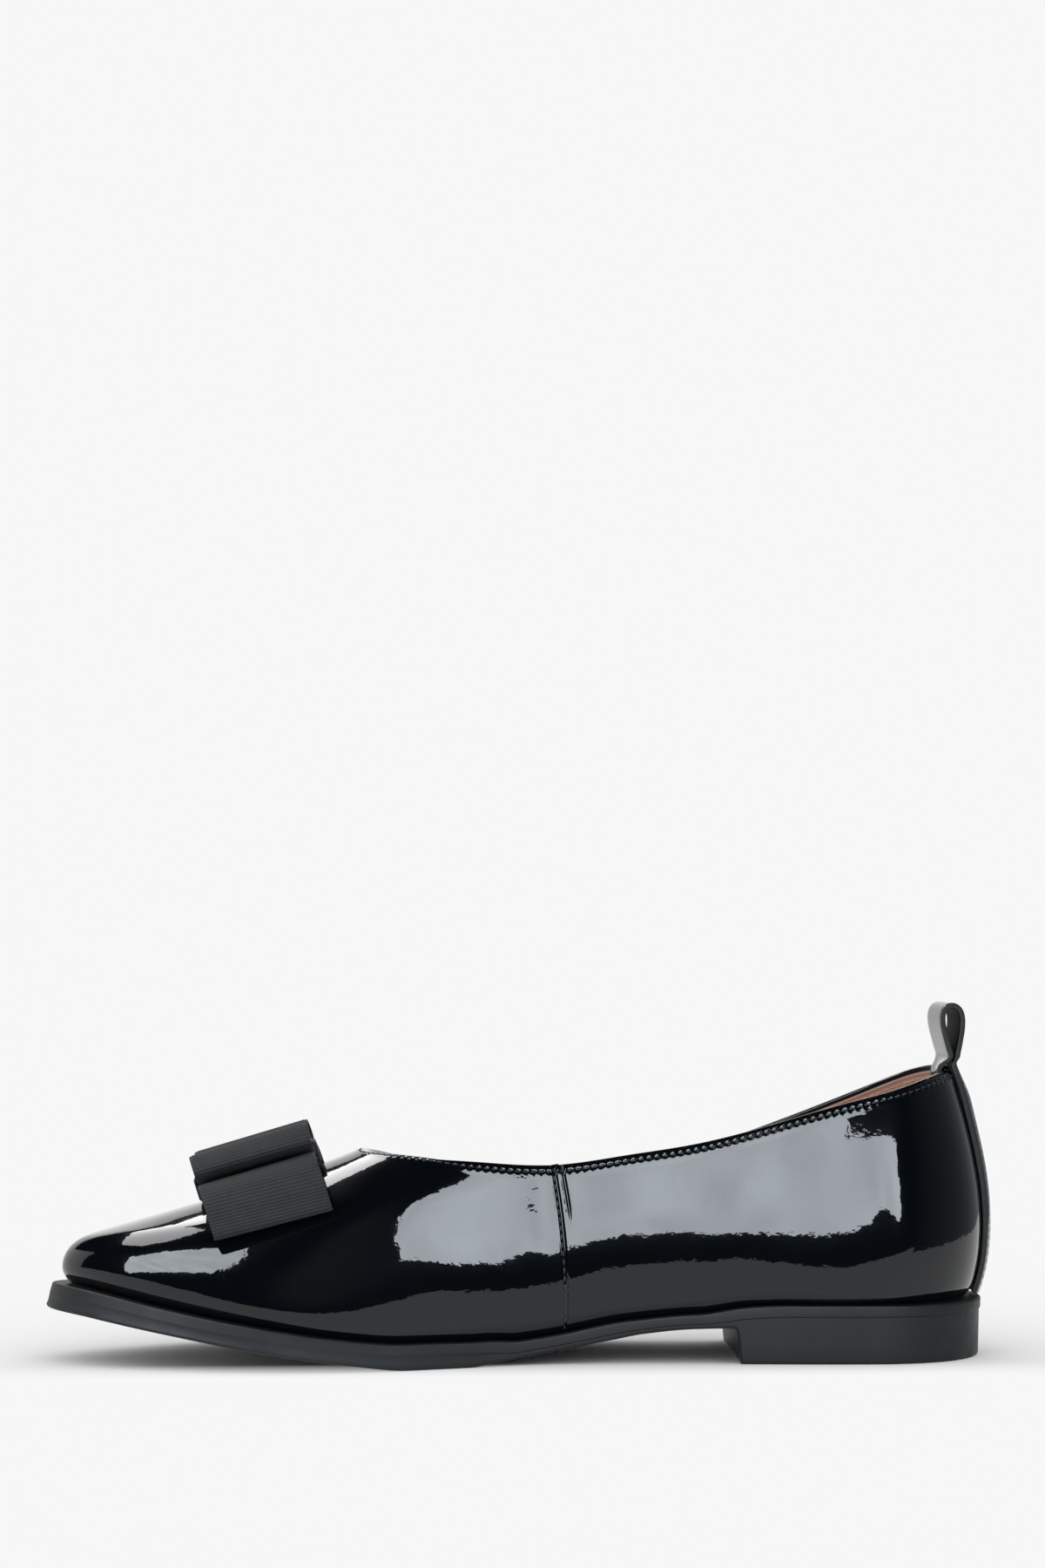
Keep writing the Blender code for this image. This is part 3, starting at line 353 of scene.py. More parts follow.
class FlatSizes(bpy.types.PropertyGroup):
    stitch_pitch: FloatProperty(
        name="Stitch pitch", description="Distance from one stitch to the next",
        default=0.0022, unit="LENGTH")
    stitch_length: FloatProperty(
        name="Stitch length", description="Length of thread that shows",
        default=0.0016, unit="LENGTH")
    thread_thick: FloatProperty(
        name="Thread", description="Thickness of the sewing thread",
        default=0.00042, unit="LENGTH")
    stitch_inset: FloatProperty(
        name="Stitch inset", description="Distance of the stitching from the topline",
        default=0.0014, unit="LENGTH")
    rib_pitch: FloatProperty(
        name="Rib pitch", description="Distance between the ribs of the ribbon",
        default=0.00085, unit="LENGTH")
    rib_height: FloatProperty(
        name="Rib height", description="Height of a rib of the ribbon",
        default=0.00016, unit="LENGTH")
    selvedge: FloatProperty(
        name="Selvedge", description="Width of the ribbon's woven edge",
        default=0.0007, unit="LENGTH")
    columns: IntProperty(
        name="Columns", description="Grid columns along each side of the upper",
        default=230, min=60)


class FlatColours(bpy.types.PropertyGroup):
    patent: FloatVectorProperty(
        name="Patent leather", description="Colour of the upper", subtype="COLOR",
        default=(0.0022, 0.0035, 0.0050))
    lining: FloatVectorProperty(
        name="Lining", description="Colour of the lining and sock", subtype="COLOR",
        default=(0.56, 0.35, 0.27))
    sole: FloatVectorProperty(
        name="Sole", description="Colour of the moulded sole", subtype="COLOR",
        default=(0.0065, 0.0085, 0.0105))
    ribbon: FloatVectorProperty(
        name="Ribbon", description="Colour of the grosgrain", subtype="COLOR",
        default=(0.015, 0.017, 0.020))
    edge: FloatVectorProperty(
        name="Cut edge", description="Colour of the strap's cut edge", subtype="COLOR",
        default=(0.0065, 0.0095, 0.0102))
    underside: FloatVectorProperty(
        name="Underside", description="Colour of the strap's underside", subtype="COLOR",
        default=(0.0012, 0.0014, 0.0016))
    floor: FloatVectorProperty(
        name="Floor", description="Colour of the floor and backdrop", subtype="COLOR",
        default=(0.93, 0.93, 0.93))


def column(table, index):
    return np.array([row[index] for row in table], float)


def hermite(x, y, slope, at):
    """The cubic curve through the knots (x, y) with the given slopes."""
    at = np.clip(np.asarray(at, float), x[0], x[-1])
    i = np.clip(np.searchsorted(x, at) - 1, 0, len(x) - 2)
    step = x[i + 1] - x[i]
    t = (at - x[i]) / step
    rise = y[i + 1] - y[i]
    first = slope[i] * step - rise
    last = rise - slope[i + 1] * step
    return y[i] + rise * t + t * (1 - t) * (first * (1 - t) + last * t)


def smooth(table, index):
    """A natural cubic spline through one column of a table: cubics with equal bends where they meet."""
    x, y = column(table, 0), column(table, index)
    h, rise = np.diff(x), np.diff(y) / np.diff(x)
    left, right = np.eye(len(x)) * 2.0, np.zeros(len(x))
    left[0, 1] = left[-1, -2] = 1.0
    right[0], right[-1] = 3 * rise[0], 3 * rise[-1]
    for i in range(1, len(x) - 1):
        left[i, i - 1 : i + 2] = h[i], 2 * (h[i - 1] + h[i]), h[i - 1]
        right[i] = 3 * (h[i] * rise[i - 1] + h[i - 1] * rise[i])
    slope = np.linalg.solve(left, right)
    return lambda at: hermite(x, y, slope, at)


def monotone(table, index):
    """A curve through one column of a table that never swings past its rows, so level rows stay level."""
    x, y = column(table, 0), column(table, index)
    rise = np.diff(y) / np.diff(x)
    slope = np.concatenate([rise[:1], np.zeros(len(x) - 2), rise[-1:]])
    same = rise[:-1] * rise[1:] > 0
    total = np.where(same, rise[:-1] + rise[1:], 1.0)
    slope[1:-1] = np.where(same, 2 * rise[:-1] * rise[1:] / total, 0.0)
    return lambda at: hermite(x, y, slope, at)


plan_medial, plan_lateral = smooth(PLAN, 1), smooth(PLAN, 2)
sole_bottom, sole_thick, sole_flare = monotone(SOLE, 1), monotone(SOLE, 2), monotone(SOLE, 3)
rim_width = monotone(RIM, 1)
ridge, crown = smooth(LAST, 1), smooth(LAST, 2)
wall_round, wall_power = smooth(WALL, 1), smooth(WALL, 2)
bulge, bulge_reach, bulge_sag = smooth(WALL, 3), smooth(WALL, 4), smooth(WALL, 5)
topline_height, topline_dip = smooth(TOPLINE, 1), smooth(TOPLINE, 2)
fan_end = monotone(FAN, 1)


def underside(station):
    """Height of the sole's underside in front of the heel."""
    return sole_bottom(station / LENGTH)


def topside(station):
    """Height of the sole's top, which is level under the heel."""
    return underside(station) + sole_thick(station / LENGTH)


def half_width(station, side, inset, heel_end, toe_end, closed=True):
    """Half width of an outline: the plan's width less the inset, times a superellipse at the heel and toe."""
    share = station / LENGTH
    width = np.where(side == MEDIAL, plan_medial(share), plan_lateral(share)) - inset
    if not closed:
        return width
    heel = np.clip((heel_end + HEEL_ROUND - station) / HEEL_ROUND, 0, 1)
    toe = np.clip((station - toe_end + TOE_ROUND) / TOE_ROUND, 0, 1)
    width = width * (1 - heel**HEEL_POWER) ** (1 / HEEL_POWER)
    return width * (1 - toe**TOE_POWER) ** (1 / TOE_POWER)


def swing(station):
    """How far the shoe's middle line lies towards the inner side."""
    ahead = np.clip((station / LENGTH - SWING_START) / (1 - SWING_START), 0, 1.1)
    return TOE_SWING * ahead**SWING_POWER


def ease(share):
    """A soft step from 0 to 1: t^2 (3 - 2 t)."""
    share = np.clip(share, 0, 1)
    return share * share * (3 - 2 * share)


def place(station, y, z):
    """World points from stations, distances from the middle line and heights."""
    station, y, z = np.broadcast_arrays(station, y, z)
    return np.stack([HEEL_LENGTH / 2 - station, y - swing(station), z], axis=-1)


def in_world(grid):
    """World points of a grid whose last axis is station, distance from the middle line and height."""
    return place(grid[..., 0], grid[..., 1], grid[..., 2])


def feather(station, side, inset=0.0):
    """Half width of the line where the upper meets the sole, or of one inset from it."""
    rim = rim_width(station / LENGTH) + inset
    return half_width(station, side, rim, FEATHER_HEEL + inset, FEATHER_TOE - inset)


def feather_height(station):
    """Height at which the upper starts over the sole."""
    return topside(station) + GAP


def upper_height(station, y):
    """Height of the last over a point of the plan: a crowned top times a superellipse down to its edge."""
    station, y = np.broadcast_arrays(np.asarray(station, float), np.asarray(y, float))
    share, side = station / LENGTH, np.where(y < 0, MEDIAL, LATERAL)
    width = half_width(station, side, rim_width(share), FEATHER_HEEL, FEATHER_TOE, closed=False)
    across = np.abs(y) / width
    heel = np.clip((FEATHER_HEEL + HEEL_ROUND - station) / HEEL_ROUND, 0, 1)
    toe = np.clip((station - FEATHER_TOE + TOE_ROUND) / TOE_ROUND, 0, 1)
    reach = np.where(
        heel > 0,
        (across**HEEL_POWER + heel**HEEL_POWER) ** (1 / HEEL_POWER),
        (across**TOE_POWER + toe**TOE_POWER) ** (1 / TOE_POWER),
    )
    radius = np.hypot(np.hypot(heel * HEEL_ROUND, toe * TOE_ROUND), y)
    inside = np.clip(1 - reach, 0, 1) * radius / np.maximum(reach, 1e-6)
    inside = np.where(reach < 0.3, width, inside)
    turn = np.clip(inside / wall_round(share), 0, 1)
    power = wall_power(share)
    rise = (1 - (1 - turn) ** power) ** (1 / power)
    base = feather_height(station)
    top = ridge(share) - crown(share) * np.minimum(across, 1) ** CROWN_POWER
    return base + (top - base) * rise


def topline_point(feather_station, side):
    """Plan position of the topline above feather stations: where the last reaches the topline's height."""
    along = (feather_station - FEATHER_HEEL) / (FEATHER_TOE - FEATHER_HEEL)
    start = FEATHER_HEEL + fan_end(along) * (THROAT - FEATHER_HEEL)
    spine = np.maximum(start, FEATHER_HEEL + HEEL_ROUND)
    edge = side * feather(start, side)
    outer, inner = np.ones(len(start)), np.zeros(len(start))
    for _ in range(44):
        share = (outer + inner) / 2
        station, y = spine + share * (start - spine), share * edge
        back = station / THROAT
        wanted = topline_height(back) - (side == LATERAL) * topline_dip(back)
        below = upper_height(station, y) < wanted
        outer, inner = np.where(below, share, outer), np.where(below, inner, share)
    return station, y


def outward(station, side):
    """Unit vectors in the plan, square to the feather line."""
    step = 1e-5
    before = np.maximum(station - step, FEATHER_HEEL)
    after = np.minimum(station + step, FEATHER_TOE)
    slope = side * (feather(after, side) - feather(before, side)) / (after - before)
    normal = np.stack([-slope * side, side * np.ones(len(station))], axis=-1)
    at_end = (station <= FEATHER_HEEL) | (station >= FEATHER_TOE)
    normal[at_end, 1] = 0.0
    normal[at_end, 0] = np.where(station[at_end] < LENGTH / 2, -1.0, 1.0)
    return normal / np.linalg.norm(normal, axis=1, keepdims=True)


def resample(path, wanted):
    """Points at given lengths along each row of path, which is (rows, points, 3). wanted is (rows, count)."""
    step = np.linalg.norm(np.diff(path, axis=1), axis=2)
    length = np.concatenate([np.zeros((len(path), 1)), np.cumsum(step, axis=1)], axis=1)
    shift = np.arange(len(path))[:, None] * (length.max() + 1.0)
    index = np.searchsorted((length + shift).ravel(), (wanted + shift).ravel(), side="right") - 1
    row = np.repeat(np.arange(len(path)), wanted.shape[1])
    index = np.clip(index - row * path.shape[1], 0, path.shape[1] - 2)
    low, high = length[row, index], length[row, index + 1]
    share = np.clip((wanted.ravel() - low) / np.maximum(high - low, 1e-12), 0, 1)[:, None]
    points = path[row, index] * (1 - share) + path[row, index + 1] * share
    return points.reshape(*wanted.shape, path.shape[2])


def row_length(path):
    """Length of each row of path."""
    return np.linalg.norm(np.diff(path, axis=1), axis=2).sum(axis=1)


def upper_lines(station, side, seam_step, fine=1400):
    """Lines up the outside of the upper, one for each station: (lines, points, 3) as station, y, height.

    Each point of the last moves outwards by bulge * 6.75 * r * (1 - r)^2 and by the seam's step, where r is
    (rise / reach of the bulge)^sag.
    """
    y = side * feather(station, side)
    top_station, top_y = topline_point(station, side)
    share = np.linspace(0, 1, fine)[None, :] ** 3
    along = station[:, None] + share * (top_station - station)[:, None]
    across = y[:, None] + share * (top_y - y)[:, None]
    height = upper_height(along, across)
    height[:, 0] = feather_height(station)
    rise = height - height[:, :1]
    reach = np.clip(rise / bulge_reach(along / LENGTH), 0, 1) ** bulge_sag(along / LENGTH)
    swell = bulge(along / LENGTH) * BULGE_SCALE * reach * (1 - reach) ** 2
    swell += seam_step[:, None] * np.clip(rise / SEAM_RISE, 0, 1)
    normal = outward(station, side)
    return np.stack([along + normal[:, :1] * swell, across + normal[:, 1:] * swell, height], axis=-1)


def grid_normals(grid):
    """Unit normals of a grid (columns, rows, 3) that closes on itself, square to the steps both ways."""
    along = np.roll(grid, -1, axis=0) - np.roll(grid, 1, axis=0)
    normal = np.cross(along, np.gradient(grid, axis=1))
    return normal / np.maximum(np.linalg.norm(normal, axis=-1, keepdims=True), 1e-12)


def quads(columns, rows, wrap_columns, wrap_rows):
    """Corner indices of the faces between neighbouring points of a grid."""
    i = np.arange(columns if wrap_columns else columns - 1)
    j = np.arange(rows if wrap_rows else rows - 1)
    i, j = np.meshgrid(i, j, indexing="ij")
    i, j = i.ravel(), j.ravel()
    k, m = (i + 1) % columns, (j + 1) % rows
    return np.stack([i * rows + j, i * rows + m, k * rows + m, k * rows + j], axis=1)


def shoe_object(name, mesh):
    """An object at the origin that rides on the shoe."""
    result = bpy.data.objects.new(name, mesh)
    bpy.context.collection.objects.link(result)
    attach(result, "root")
    return result


def piece(name, points, faces, material, uv=None, sharp=None):
    """A mesh piece with its doubles merged and its faces turned outwards. sharp is a hard edge's angle."""
    mesh = bpy.data.meshes.new(name)
    mesh.from_pydata(points.tolist(), [], faces.tolist())
    mesh.materials.append(material)
    if uv is not None:
        layer = mesh.uv_layers.new(name="Length and width")
        layer.data.foreach_set("uv", uv.astype(np.float32).ravel())
    shape = bmesh.new()
    shape.from_mesh(mesh)
    bmesh.ops.remove_doubles(shape, verts=shape.verts, dist=MERGE)
    bmesh.ops.dissolve_degenerate(shape, edges=shape.edges, dist=MERGE)
    bmesh.ops.recalc_face_normals(shape, faces=shape.faces)
    shape.to_mesh(mesh)
    shape.free()
    mesh.shade_smooth()
    if sharp:
        mesh.set_sharp_from_angle(angle=math.radians(sharp))
    return shoe_object(name, mesh)


def stations_round(heel_end, toe_end, heel_steps, middle, toe_steps):
    """Stations and sides once round an outline, closer together where it turns."""
    turn = np.linspace(0, math.pi / 2, heel_steps + 1)[:-1]
    heel = heel_end + HEEL_ROUND * (1 - np.cos(turn))
    turn = np.linspace(math.pi / 2, 0, toe_steps + 1)
    toe = toe_end - TOE_ROUND * (1 - np.cos(turn))
    run = np.concatenate([heel, middle, toe])
    station = np.concatenate([run, run[::-1][1:-1]])
    side = np.concatenate([np.full(len(run), MEDIAL), np.full(len(run) - 2, LATERAL)])
    return station, side


def side_normals(path, closed=False):
    """Unit vectors to the right of a flat path."""
    if closed:
        along = np.roll(path, -1, axis=0) - np.roll(path, 1, axis=0)
    else:
        along = np.gradient(path, axis=0)
    normal = np.stack([along[:, 1], -along[:, 0]], axis=-1)
    return normal / np.linalg.norm(normal, axis=1, keepdims=True)


def smooth_path(points, count):
    """Even points along a natural cubic spline through the given ones."""
    points = np.array(points, float)
    chord = np.concatenate([[0], np.cumsum(np.linalg.norm(np.diff(points, axis=0), axis=1))])
    rows = np.column_stack([chord, points])
    fine = np.linspace(0, chord[-1], 20 * count)
    curve = np.stack([smooth(rows, k + 1)(fine) for k in range(points.shape[1])], axis=-1)
    return resample(curve[None], np.linspace(0, row_length(curve[None])[0], count)[None])[0]


# Materials


def start_material(name, colour, roughness):
    """A new material with its colour and roughness set, and its shader."""
    made = bpy.data.materials.new(name)
    made.use_nodes = True
    shader = made.node_tree.nodes["Principled BSDF"]
    shader.inputs["Base Color"].default_value = (*colour, 1.0)
    shader.inputs["Roughness"].default_value = roughness
    return made, shader


def set_sockets(shader, values):
    for name, value in values.items():
        shader.inputs[name].default_value = value


def node(made, kind, inputs, output, **settings):
    """Adds a node, sets or links its inputs by name, and returns one output."""
    result = made.node_tree.nodes.new("ShaderNode" + kind)
    for name, value in settings.items():
        setattr(result, name, value)
    for name, value in inputs.items():
        if isinstance(value, bpy.types.NodeSocket):
            made.node_tree.links.new(value, result.inputs[name])
        else:
            result.inputs[name].default_value = value
    return result.outputs[output]


def object_place(made):
    return node(made, "TexCoord", {}, "Object")


def noise(made, place_socket, size, detail=2.0, roughness=0.5):
    """Noise whose features are about size across."""
    inputs = {"Vector": place_socket, "Scale": 1 / size, "Detail": detail, "Roughness": roughness}
    return node(made, "TexNoise", inputs, "Fac")


def spread(made, value, low, high, to_low, to_high):
    """value mapped from one range to another, and held inside it."""
    inputs = {"Value": value, "From Min": low, "From Max": high, "To Min": to_low, "To Max": to_high}
    return node(made, "MapRange", inputs, "Result")


def bump(made, height, depth, below=None):
    """A normal raised by height times depth, over the normal of another bump."""
    inputs = {"Height": height, "Distance": depth, "Strength": 1.0}
    if below is not None:
        inputs["Normal"] = below
    return node(made, "Bump", inputs, "Normal")


def math_node(made, operation, first, second=0.0):
    """A sum of one or two numbers or outputs."""
    result = made.node_tree.nodes.new("ShaderNodeMath")
    result.operation = operation
    for socket, value in zip(result.inputs, (first, second)):
        if isinstance(value, bpy.types.NodeSocket):
            made.node_tree.links.new(value, socket)
        else:
            socket.default_value = value
    return result.outputs[0]


def blend_colours(made, share, first, second):
    """A mix of two colours. The mixer's own colour sockets are 6 and 7, and its colour output is 2."""
    mixer = made.node_tree.nodes.new("ShaderNodeMix")
    mixer.data_type = "RGBA"
    made.node_tree.links.new(share, mixer.inputs["Factor"])
    mixer.inputs[6].default_value = (*first, 1.0)
    mixer.inputs[7].default_value = (*second, 1.0)
    return mixer.outputs[2]


def link(made, socket, target):
    made.node_tree.links.new(socket, target)


def tinted(colour, factor):
    """A colour made lighter or darker by a factor."""
    return tuple(min(1.0, part * factor) for part in colour)


def uneven(made, shader, colour, cloud, low, high, darker, lighter):
    """Colours a material between two tints of its colour, by a noise between low and high."""
    tone = spread(made, cloud, low, high, 0.0, 1.0)
    mixed = blend_colours(made, tone, tinted(colour, darker), tinted(colour, lighter))
    link(made, mixed, shader.inputs["Base Color"])


def patent_leather(name, colour, level):
    """Black lacquer over fine leather: a clear coat over a duller base, with orange peel and slow waves.

    Along the topline the stitches pull it into puckers: cos(2 pi * stitches) * (1 - distance / reach)^2,
    where UV is the count of stitches and the distance from the edge. level is the base's gloss.
    """
    peel_size, peel_depth = 0.0009, 0.0000070
    wave_size, wave_depth = 0.0045, 0.000045
    pucker_line, pucker_reach, pucker_depth = 0.0015, 0.0016, 0.00016
    made, shader = start_material(name, colour, 0.16)
    where = object_place(made)
    gloss = spread(made, noise(made, where, 0.03, 3.0), 0.3, 0.7, 0.12, 0.20)
    link(made, gloss, shader.inputs["Roughness"])
    peel = bump(made, noise(made, where, peel_size, 1.0), peel_depth)
    uv = node(made, "UVMap", {}, "UV")
    along = node(made, "SeparateXYZ", {"Vector": uv}, "X")
    down = node(made, "SeparateXYZ", {"Vector": uv}, "Y")
    pull = math_node(made, "COSINE", math_node(made, "MULTIPLY", along, 2 * math.pi))
    off = math_node(made, "ABSOLUTE", math_node(made, "SUBTRACT", down, pucker_line))
    near = spread(made, off, 0.0, pucker_reach, 1.0, 0.0)
    pucker = math_node(made, "MULTIPLY", math_node(made, "MULTIPLY", pull, near), near)
    puckered = bump(made, pucker, pucker_depth, peel)
    wave = bump(made, noise(made, where, wave_size, 1.5), wave_depth, puckered)
    link(made, wave, shader.inputs["Normal"])
    link(made, wave, shader.inputs["Coat Normal"])
    set_sockets(shader, {"IOR": 1.5, "Specular IOR Level": level})
    set_sockets(shader, {"Coat Weight": 1.0, "Coat Roughness": 0.025, "Coat IOR": 1.46})
    return made


def soft_leather(name, colour, grain, sheen=0.15, level=0.5):
    """Matte lining leather with fine pores, grain apart, and slightly uneven dye."""
    pore_depth, wave_size, wave_depth = 0.00005, 0.004, 0.00008
    made, shader = start_material(name, colour, 0.55)
    where = object_place(made)
    uneven(made, shader, colour, noise(made, where, 0.012, 4.0), 0.3, 0.7, 0.90, 1.08)
    pores = node(made, "TexVoronoi", {"Vector": where, "Scale": 1 / grain}, "Distance")
    wave = bump(made, noise(made, where, wave_size), wave_depth)
    link(made, bump(made, pores, pore_depth, wave), shader.inputs["Normal"])
    link(made, spread(made, pores, 0.0, 0.6, 0.48, 0.62), shader.inputs["Roughness"])
    set_sockets(shader, {"Sheen Weight": sheen, "Specular IOR Level": level})
    return made


def sole_rubber(colour):
    """Moulded matte rubber: fine sand grain, faint dusty tone, a little sheen at low angles."""
    sand_size, sand_depth = 0.00035, 0.00002
    wave_size, wave_depth = 0.003, 0.00003
    made, shader = start_material("Sole rubber", colour, 0.5)
    where = object_place(made)
    uneven(made, shader, colour, noise(made, where, 0.02, 5.0), 0.35, 0.7, 0.85, 1.30)
    gloss = spread(made, noise(made, where, 0.006, 4.0), 0.3, 0.7, 0.42, 0.56)
    link(made, gloss, shader.inputs["Roughness"])
    sand = bump(made, noise(made, where, sand_size), sand_depth)
    link(made, bump(made, noise(made, where, wave_size), wave_depth, sand), shader.inputs["Normal"])
    set_sockets(shader, {"Specular IOR Level": 0.32})
    return made


def grosgrain(colour):
    """Ribbed ribbon: dull ribs with painted shade in the valleys between them and painted light on their
    crests, and fine warp threads over both. The painted shade is |sin(pi * ribs)|^0.8 and a little wear. UV
    is the count of ribs along and the distance across in metres.
    """
    warp_pitch, tuft_size, thread_depth = 0.00024, 0.0006, 0.000016
    made, shader = start_material("Grosgrain", colour, 0.68)
    uv = node(made, "UVMap", {}, "UV")
    across = node(made, "SeparateXYZ", {"Vector": uv}, "Y")
    along = node(made, "SeparateXYZ", {"Vector": uv}, "X")
    warp = math_node(made, "SINE", math_node(made, "MULTIPLY", across, 2 * math.pi / warp_pitch))
    tuft = math_node(made, "MULTIPLY", noise(made, object_place(made), tuft_size, 3.0), 2.0)
    raised = bump(made, math_node(made, "ADD", warp, tuft), thread_depth)
    link(made, raised, shader.inputs["Normal"])
    # Painted shade and light: the colour runs from 0.06 of the ribbon's colour in the valleys between the
    # ribs to 1.6 of it on their crests, with a little wear by noise.
    rib = math_node(made, "ABSOLUTE", math_node(made, "SINE", math_node(made, "MULTIPLY", along, math.pi)))
    worn = spread(made, noise(made, object_place(made), 0.004, 4.0), 0.3, 0.7, -0.12, 0.12)
    shade = math_node(made, "ADD", math_node(made, "POWER", rib, 0.8), worn)
    mixed = blend_colours(made, shade, tinted(colour, 0.06), tinted(colour, 1.60))
    link(made, mixed, shader.inputs["Base Color"])
    set_sockets(shader, {"Specular IOR Level": 0.3, "Sheen Weight": 0.12, "Sheen Roughness": 0.4})
    return made


def cut_edge(colour):
    """Painted raw edge of leather: fibrous, matte."""
    made, shader = start_material("Cut edge", colour, 0.7)
    where = object_place(made)
    uneven(made, shader, colour, noise(made, where, 0.0012, 4.0), 0.35, 0.65, 0.7, 1.5)
    link(made, bump(made, noise(made, where, 0.0007, 3.0), 0.00008), shader.inputs["Normal"])
    return made


def thread(name, colour):
    """Twisted sewing thread, slightly uneven in colour."""
    made, shader = start_material(name, colour, 0.5)
    where = object_place(made)
    link(made, bump(made, noise(made, where, 0.00025), 0.00003), shader.inputs["Normal"])
    uneven(made, shader, colour, noise(made, where, 0.005), 0.35, 0.65, 0.8, 1.2)
    return made


def finish(key):
    """The shoe's materials by plain name, made once."""
    colours = bpy.context.scene.flat_colours
    makers = {
        "Patent leather": lambda: patent_leather(key, colours.patent, 0.02),
        "Strap leather": lambda: patent_leather(key, colours.patent, 0.6),
        "Strap underside": lambda: soft_leather(key, colours.underside, 0.0006, 0.0, 0.12),
        "Lining leather": lambda: soft_leather(key, colours.lining, 0.0009),
        "Sole rubber": lambda: sole_rubber(colours.sole),
        "Grosgrain": lambda: grosgrain(colours.ribbon),
        "Cut edge": lambda: cut_edge(colours.edge),
        "Dark thread": lambda: thread(key, (0.030, 0.032, 0.036)),
        "Lining thread": lambda: thread(key, tinted(colours.lining, 1.15)),
    }
    return bpy.data.materials.get(key) or makers[key]()


# Upper


def upper_grid(tuck=TUCK):
    """Outer skin of the upper: lines from the sole to the topline, with the seam's step, groove and dents.

    Rows are (line length - fold) times shares^1.3, then closer rows for the folded edge. Grooves, creases and
    dents are depth * exp(-(distance / width)^2). Over the sole the skin turns in by
    tuck * (1 - rise / height)^2. Returns stations, sides, the grid, its normals and the distances from the
    topline.
    """
    groove_depth, groove_ahead, groove_width = 0.00060, 0.0002, 0.00048
    crease_depth, crease_behind, crease_width = 0.00030, 0.0026, 0.00032
    crease_foot, crease_fade = 0.037, 0.006
    fold = 0.0040
    near = [0.0003, 0.0007, 0.0012, 0.0017, 0.0021, 0.0024, 0.0026, 0.0028, 0.0031, 0.0036, 0.0044]
    near = np.array(near)
    lap = [SEAM_STATION, SEAM_STATION + 0.00012]
    seam = np.concatenate([SEAM_STATION - near[::-1], lap, SEAM_STATION + near])
    count = bpy.context.scene.flat_sizes.columns
    behind = np.linspace(FEATHER_HEEL + HEEL_ROUND, seam[0], int(0.42 * count))[:-1]
    ahead = np.linspace(seam[-1], FEATHER_TOE - TOE_ROUND, int(0.38 * count))[1:-1]
    middle = np.concatenate([behind, seam, ahead])
    station, side = stations_round(FEATHER_HEEL, FEATHER_TOE, 46, middle, 84)
    ahead = np.clip((station - SEAM_STATION) / SEAM_FADE, 0, 1)
    step = np.where(station > SEAM_STATION + 1e-9, SEAM_STEP * (1 - ahead) ** 2, 0.0)
    groove = groove_depth * np.exp(-(((station - SEAM_STATION - groove_ahead) / groove_width) ** 2))
    lines = upper_lines(station, side, step - groove)
    total = row_length(lines)[:, None]
    body = np.linspace(0, 1, 76)[None, :-1] ** 1.3 * (total - fold)
    close = total - fold * (1 - np.linspace(0, 1, CLOSE_ROWS))[None, :]
    grid = resample(lines, np.concatenate([body, close], axis=1))
    from_top = np.concatenate([total - body, total - close], axis=1)
    dent = np.zeros(from_top.shape)
    for at, height, reach, up, depth in DENTS:
        dent -= depth * np.exp(-(((grid[..., 0] - at) / reach) ** 2) - ((grid[..., 2] - height) / up) ** 2)
    dent = np.where((side == MEDIAL)[:, None], dent, 0.0)
    crease = np.exp(-(((station - SEAM_STATION + crease_behind) / crease_width) ** 2))[:, None]
    dent -= crease_depth * crease * np.clip((grid[..., 2] - crease_foot) / crease_fade, 0, 1)
    low = np.clip(1 - (grid[..., 2] - grid[:, :1, 2]) / TUCK_HEIGHT, 0, 1)
    grid[..., :2] -= outward(station, side)[:, None] * (tuck * low**2)[..., None]
    normal = grid_normals(grid)
    raised = (fold_profile(from_top) + dent)[..., None]
    return station, side, grid + normal * raised, normal, from_top


def fold_profile(from_top):
    """Height of the folded edge over the plain skin: it rolls inwards at the topline by a square, stands a
    little proud for the width of the turned leather, and dips along its stitches by a bell curve.
    """
    dip_depth, dip_width = 0.00026, 0.00050
    roll_depth, roll_reach = 0.00065, 0.0022
    turned_height, turned_width, turned_edge = 0.00006, 0.0032, 0.00022
    inset = bpy.context.scene.flat_sizes.stitch_inset
    dip = dip_depth * np.exp(-(((from_top - inset) / dip_width) ** 2))
    roll = roll_depth * np.clip(1 - from_top / roll_reach, 0, 1) ** 2
    turned = turned_height / (1 + np.exp((from_top - turned_width) / turned_edge))
    return turned - roll - dip


def rim_and_inside(outer, normal, depth):
    """Continues lines over the rim, by half an ellipse as wide as the wall, and down inside by an offset.

    depth is how far inside the outer skin the inner one lies, below a rolled edge of the full wall.
    """
    top, up = outer[:, -1], outer[:, -1] - outer[:, -2]
    up /= np.linalg.norm(up, axis=1, keepdims=True)
    across = -normal[:, -1]
    turn = np.linspace(0, math.pi, 9)[None, 1:-1, None]
    centre = top[:, None] + across[:, None] * UPPER_WALL / 2
    arc = centre - across[:, None] * np.cos(turn) * UPPER_WALL / 2
    arc = arc + up[:, None] * np.sin(turn) * 0.4 * UPPER_WALL
    inner = outer - normal * depth[..., None]
    return np.concatenate([outer, arc, inner[:, hidden_rows(inner.shape[1])][:, ::-1]], axis=1)


def hidden_rows(count):
    """Rows of a side that another piece covers: every fourth, and all of the close ones by the topline."""
    return np.concatenate([np.arange(0, count - CLOSE_ROWS, 4), np.arange(count - CLOSE_ROWS, count)])


def stitch_count(line):
    """How many stitches fit along a line, and the line's length."""
    length = row_length(line[None])[0]
    return max(2, int(length / bpy.context.scene.flat_sizes.stitch_pitch)), length


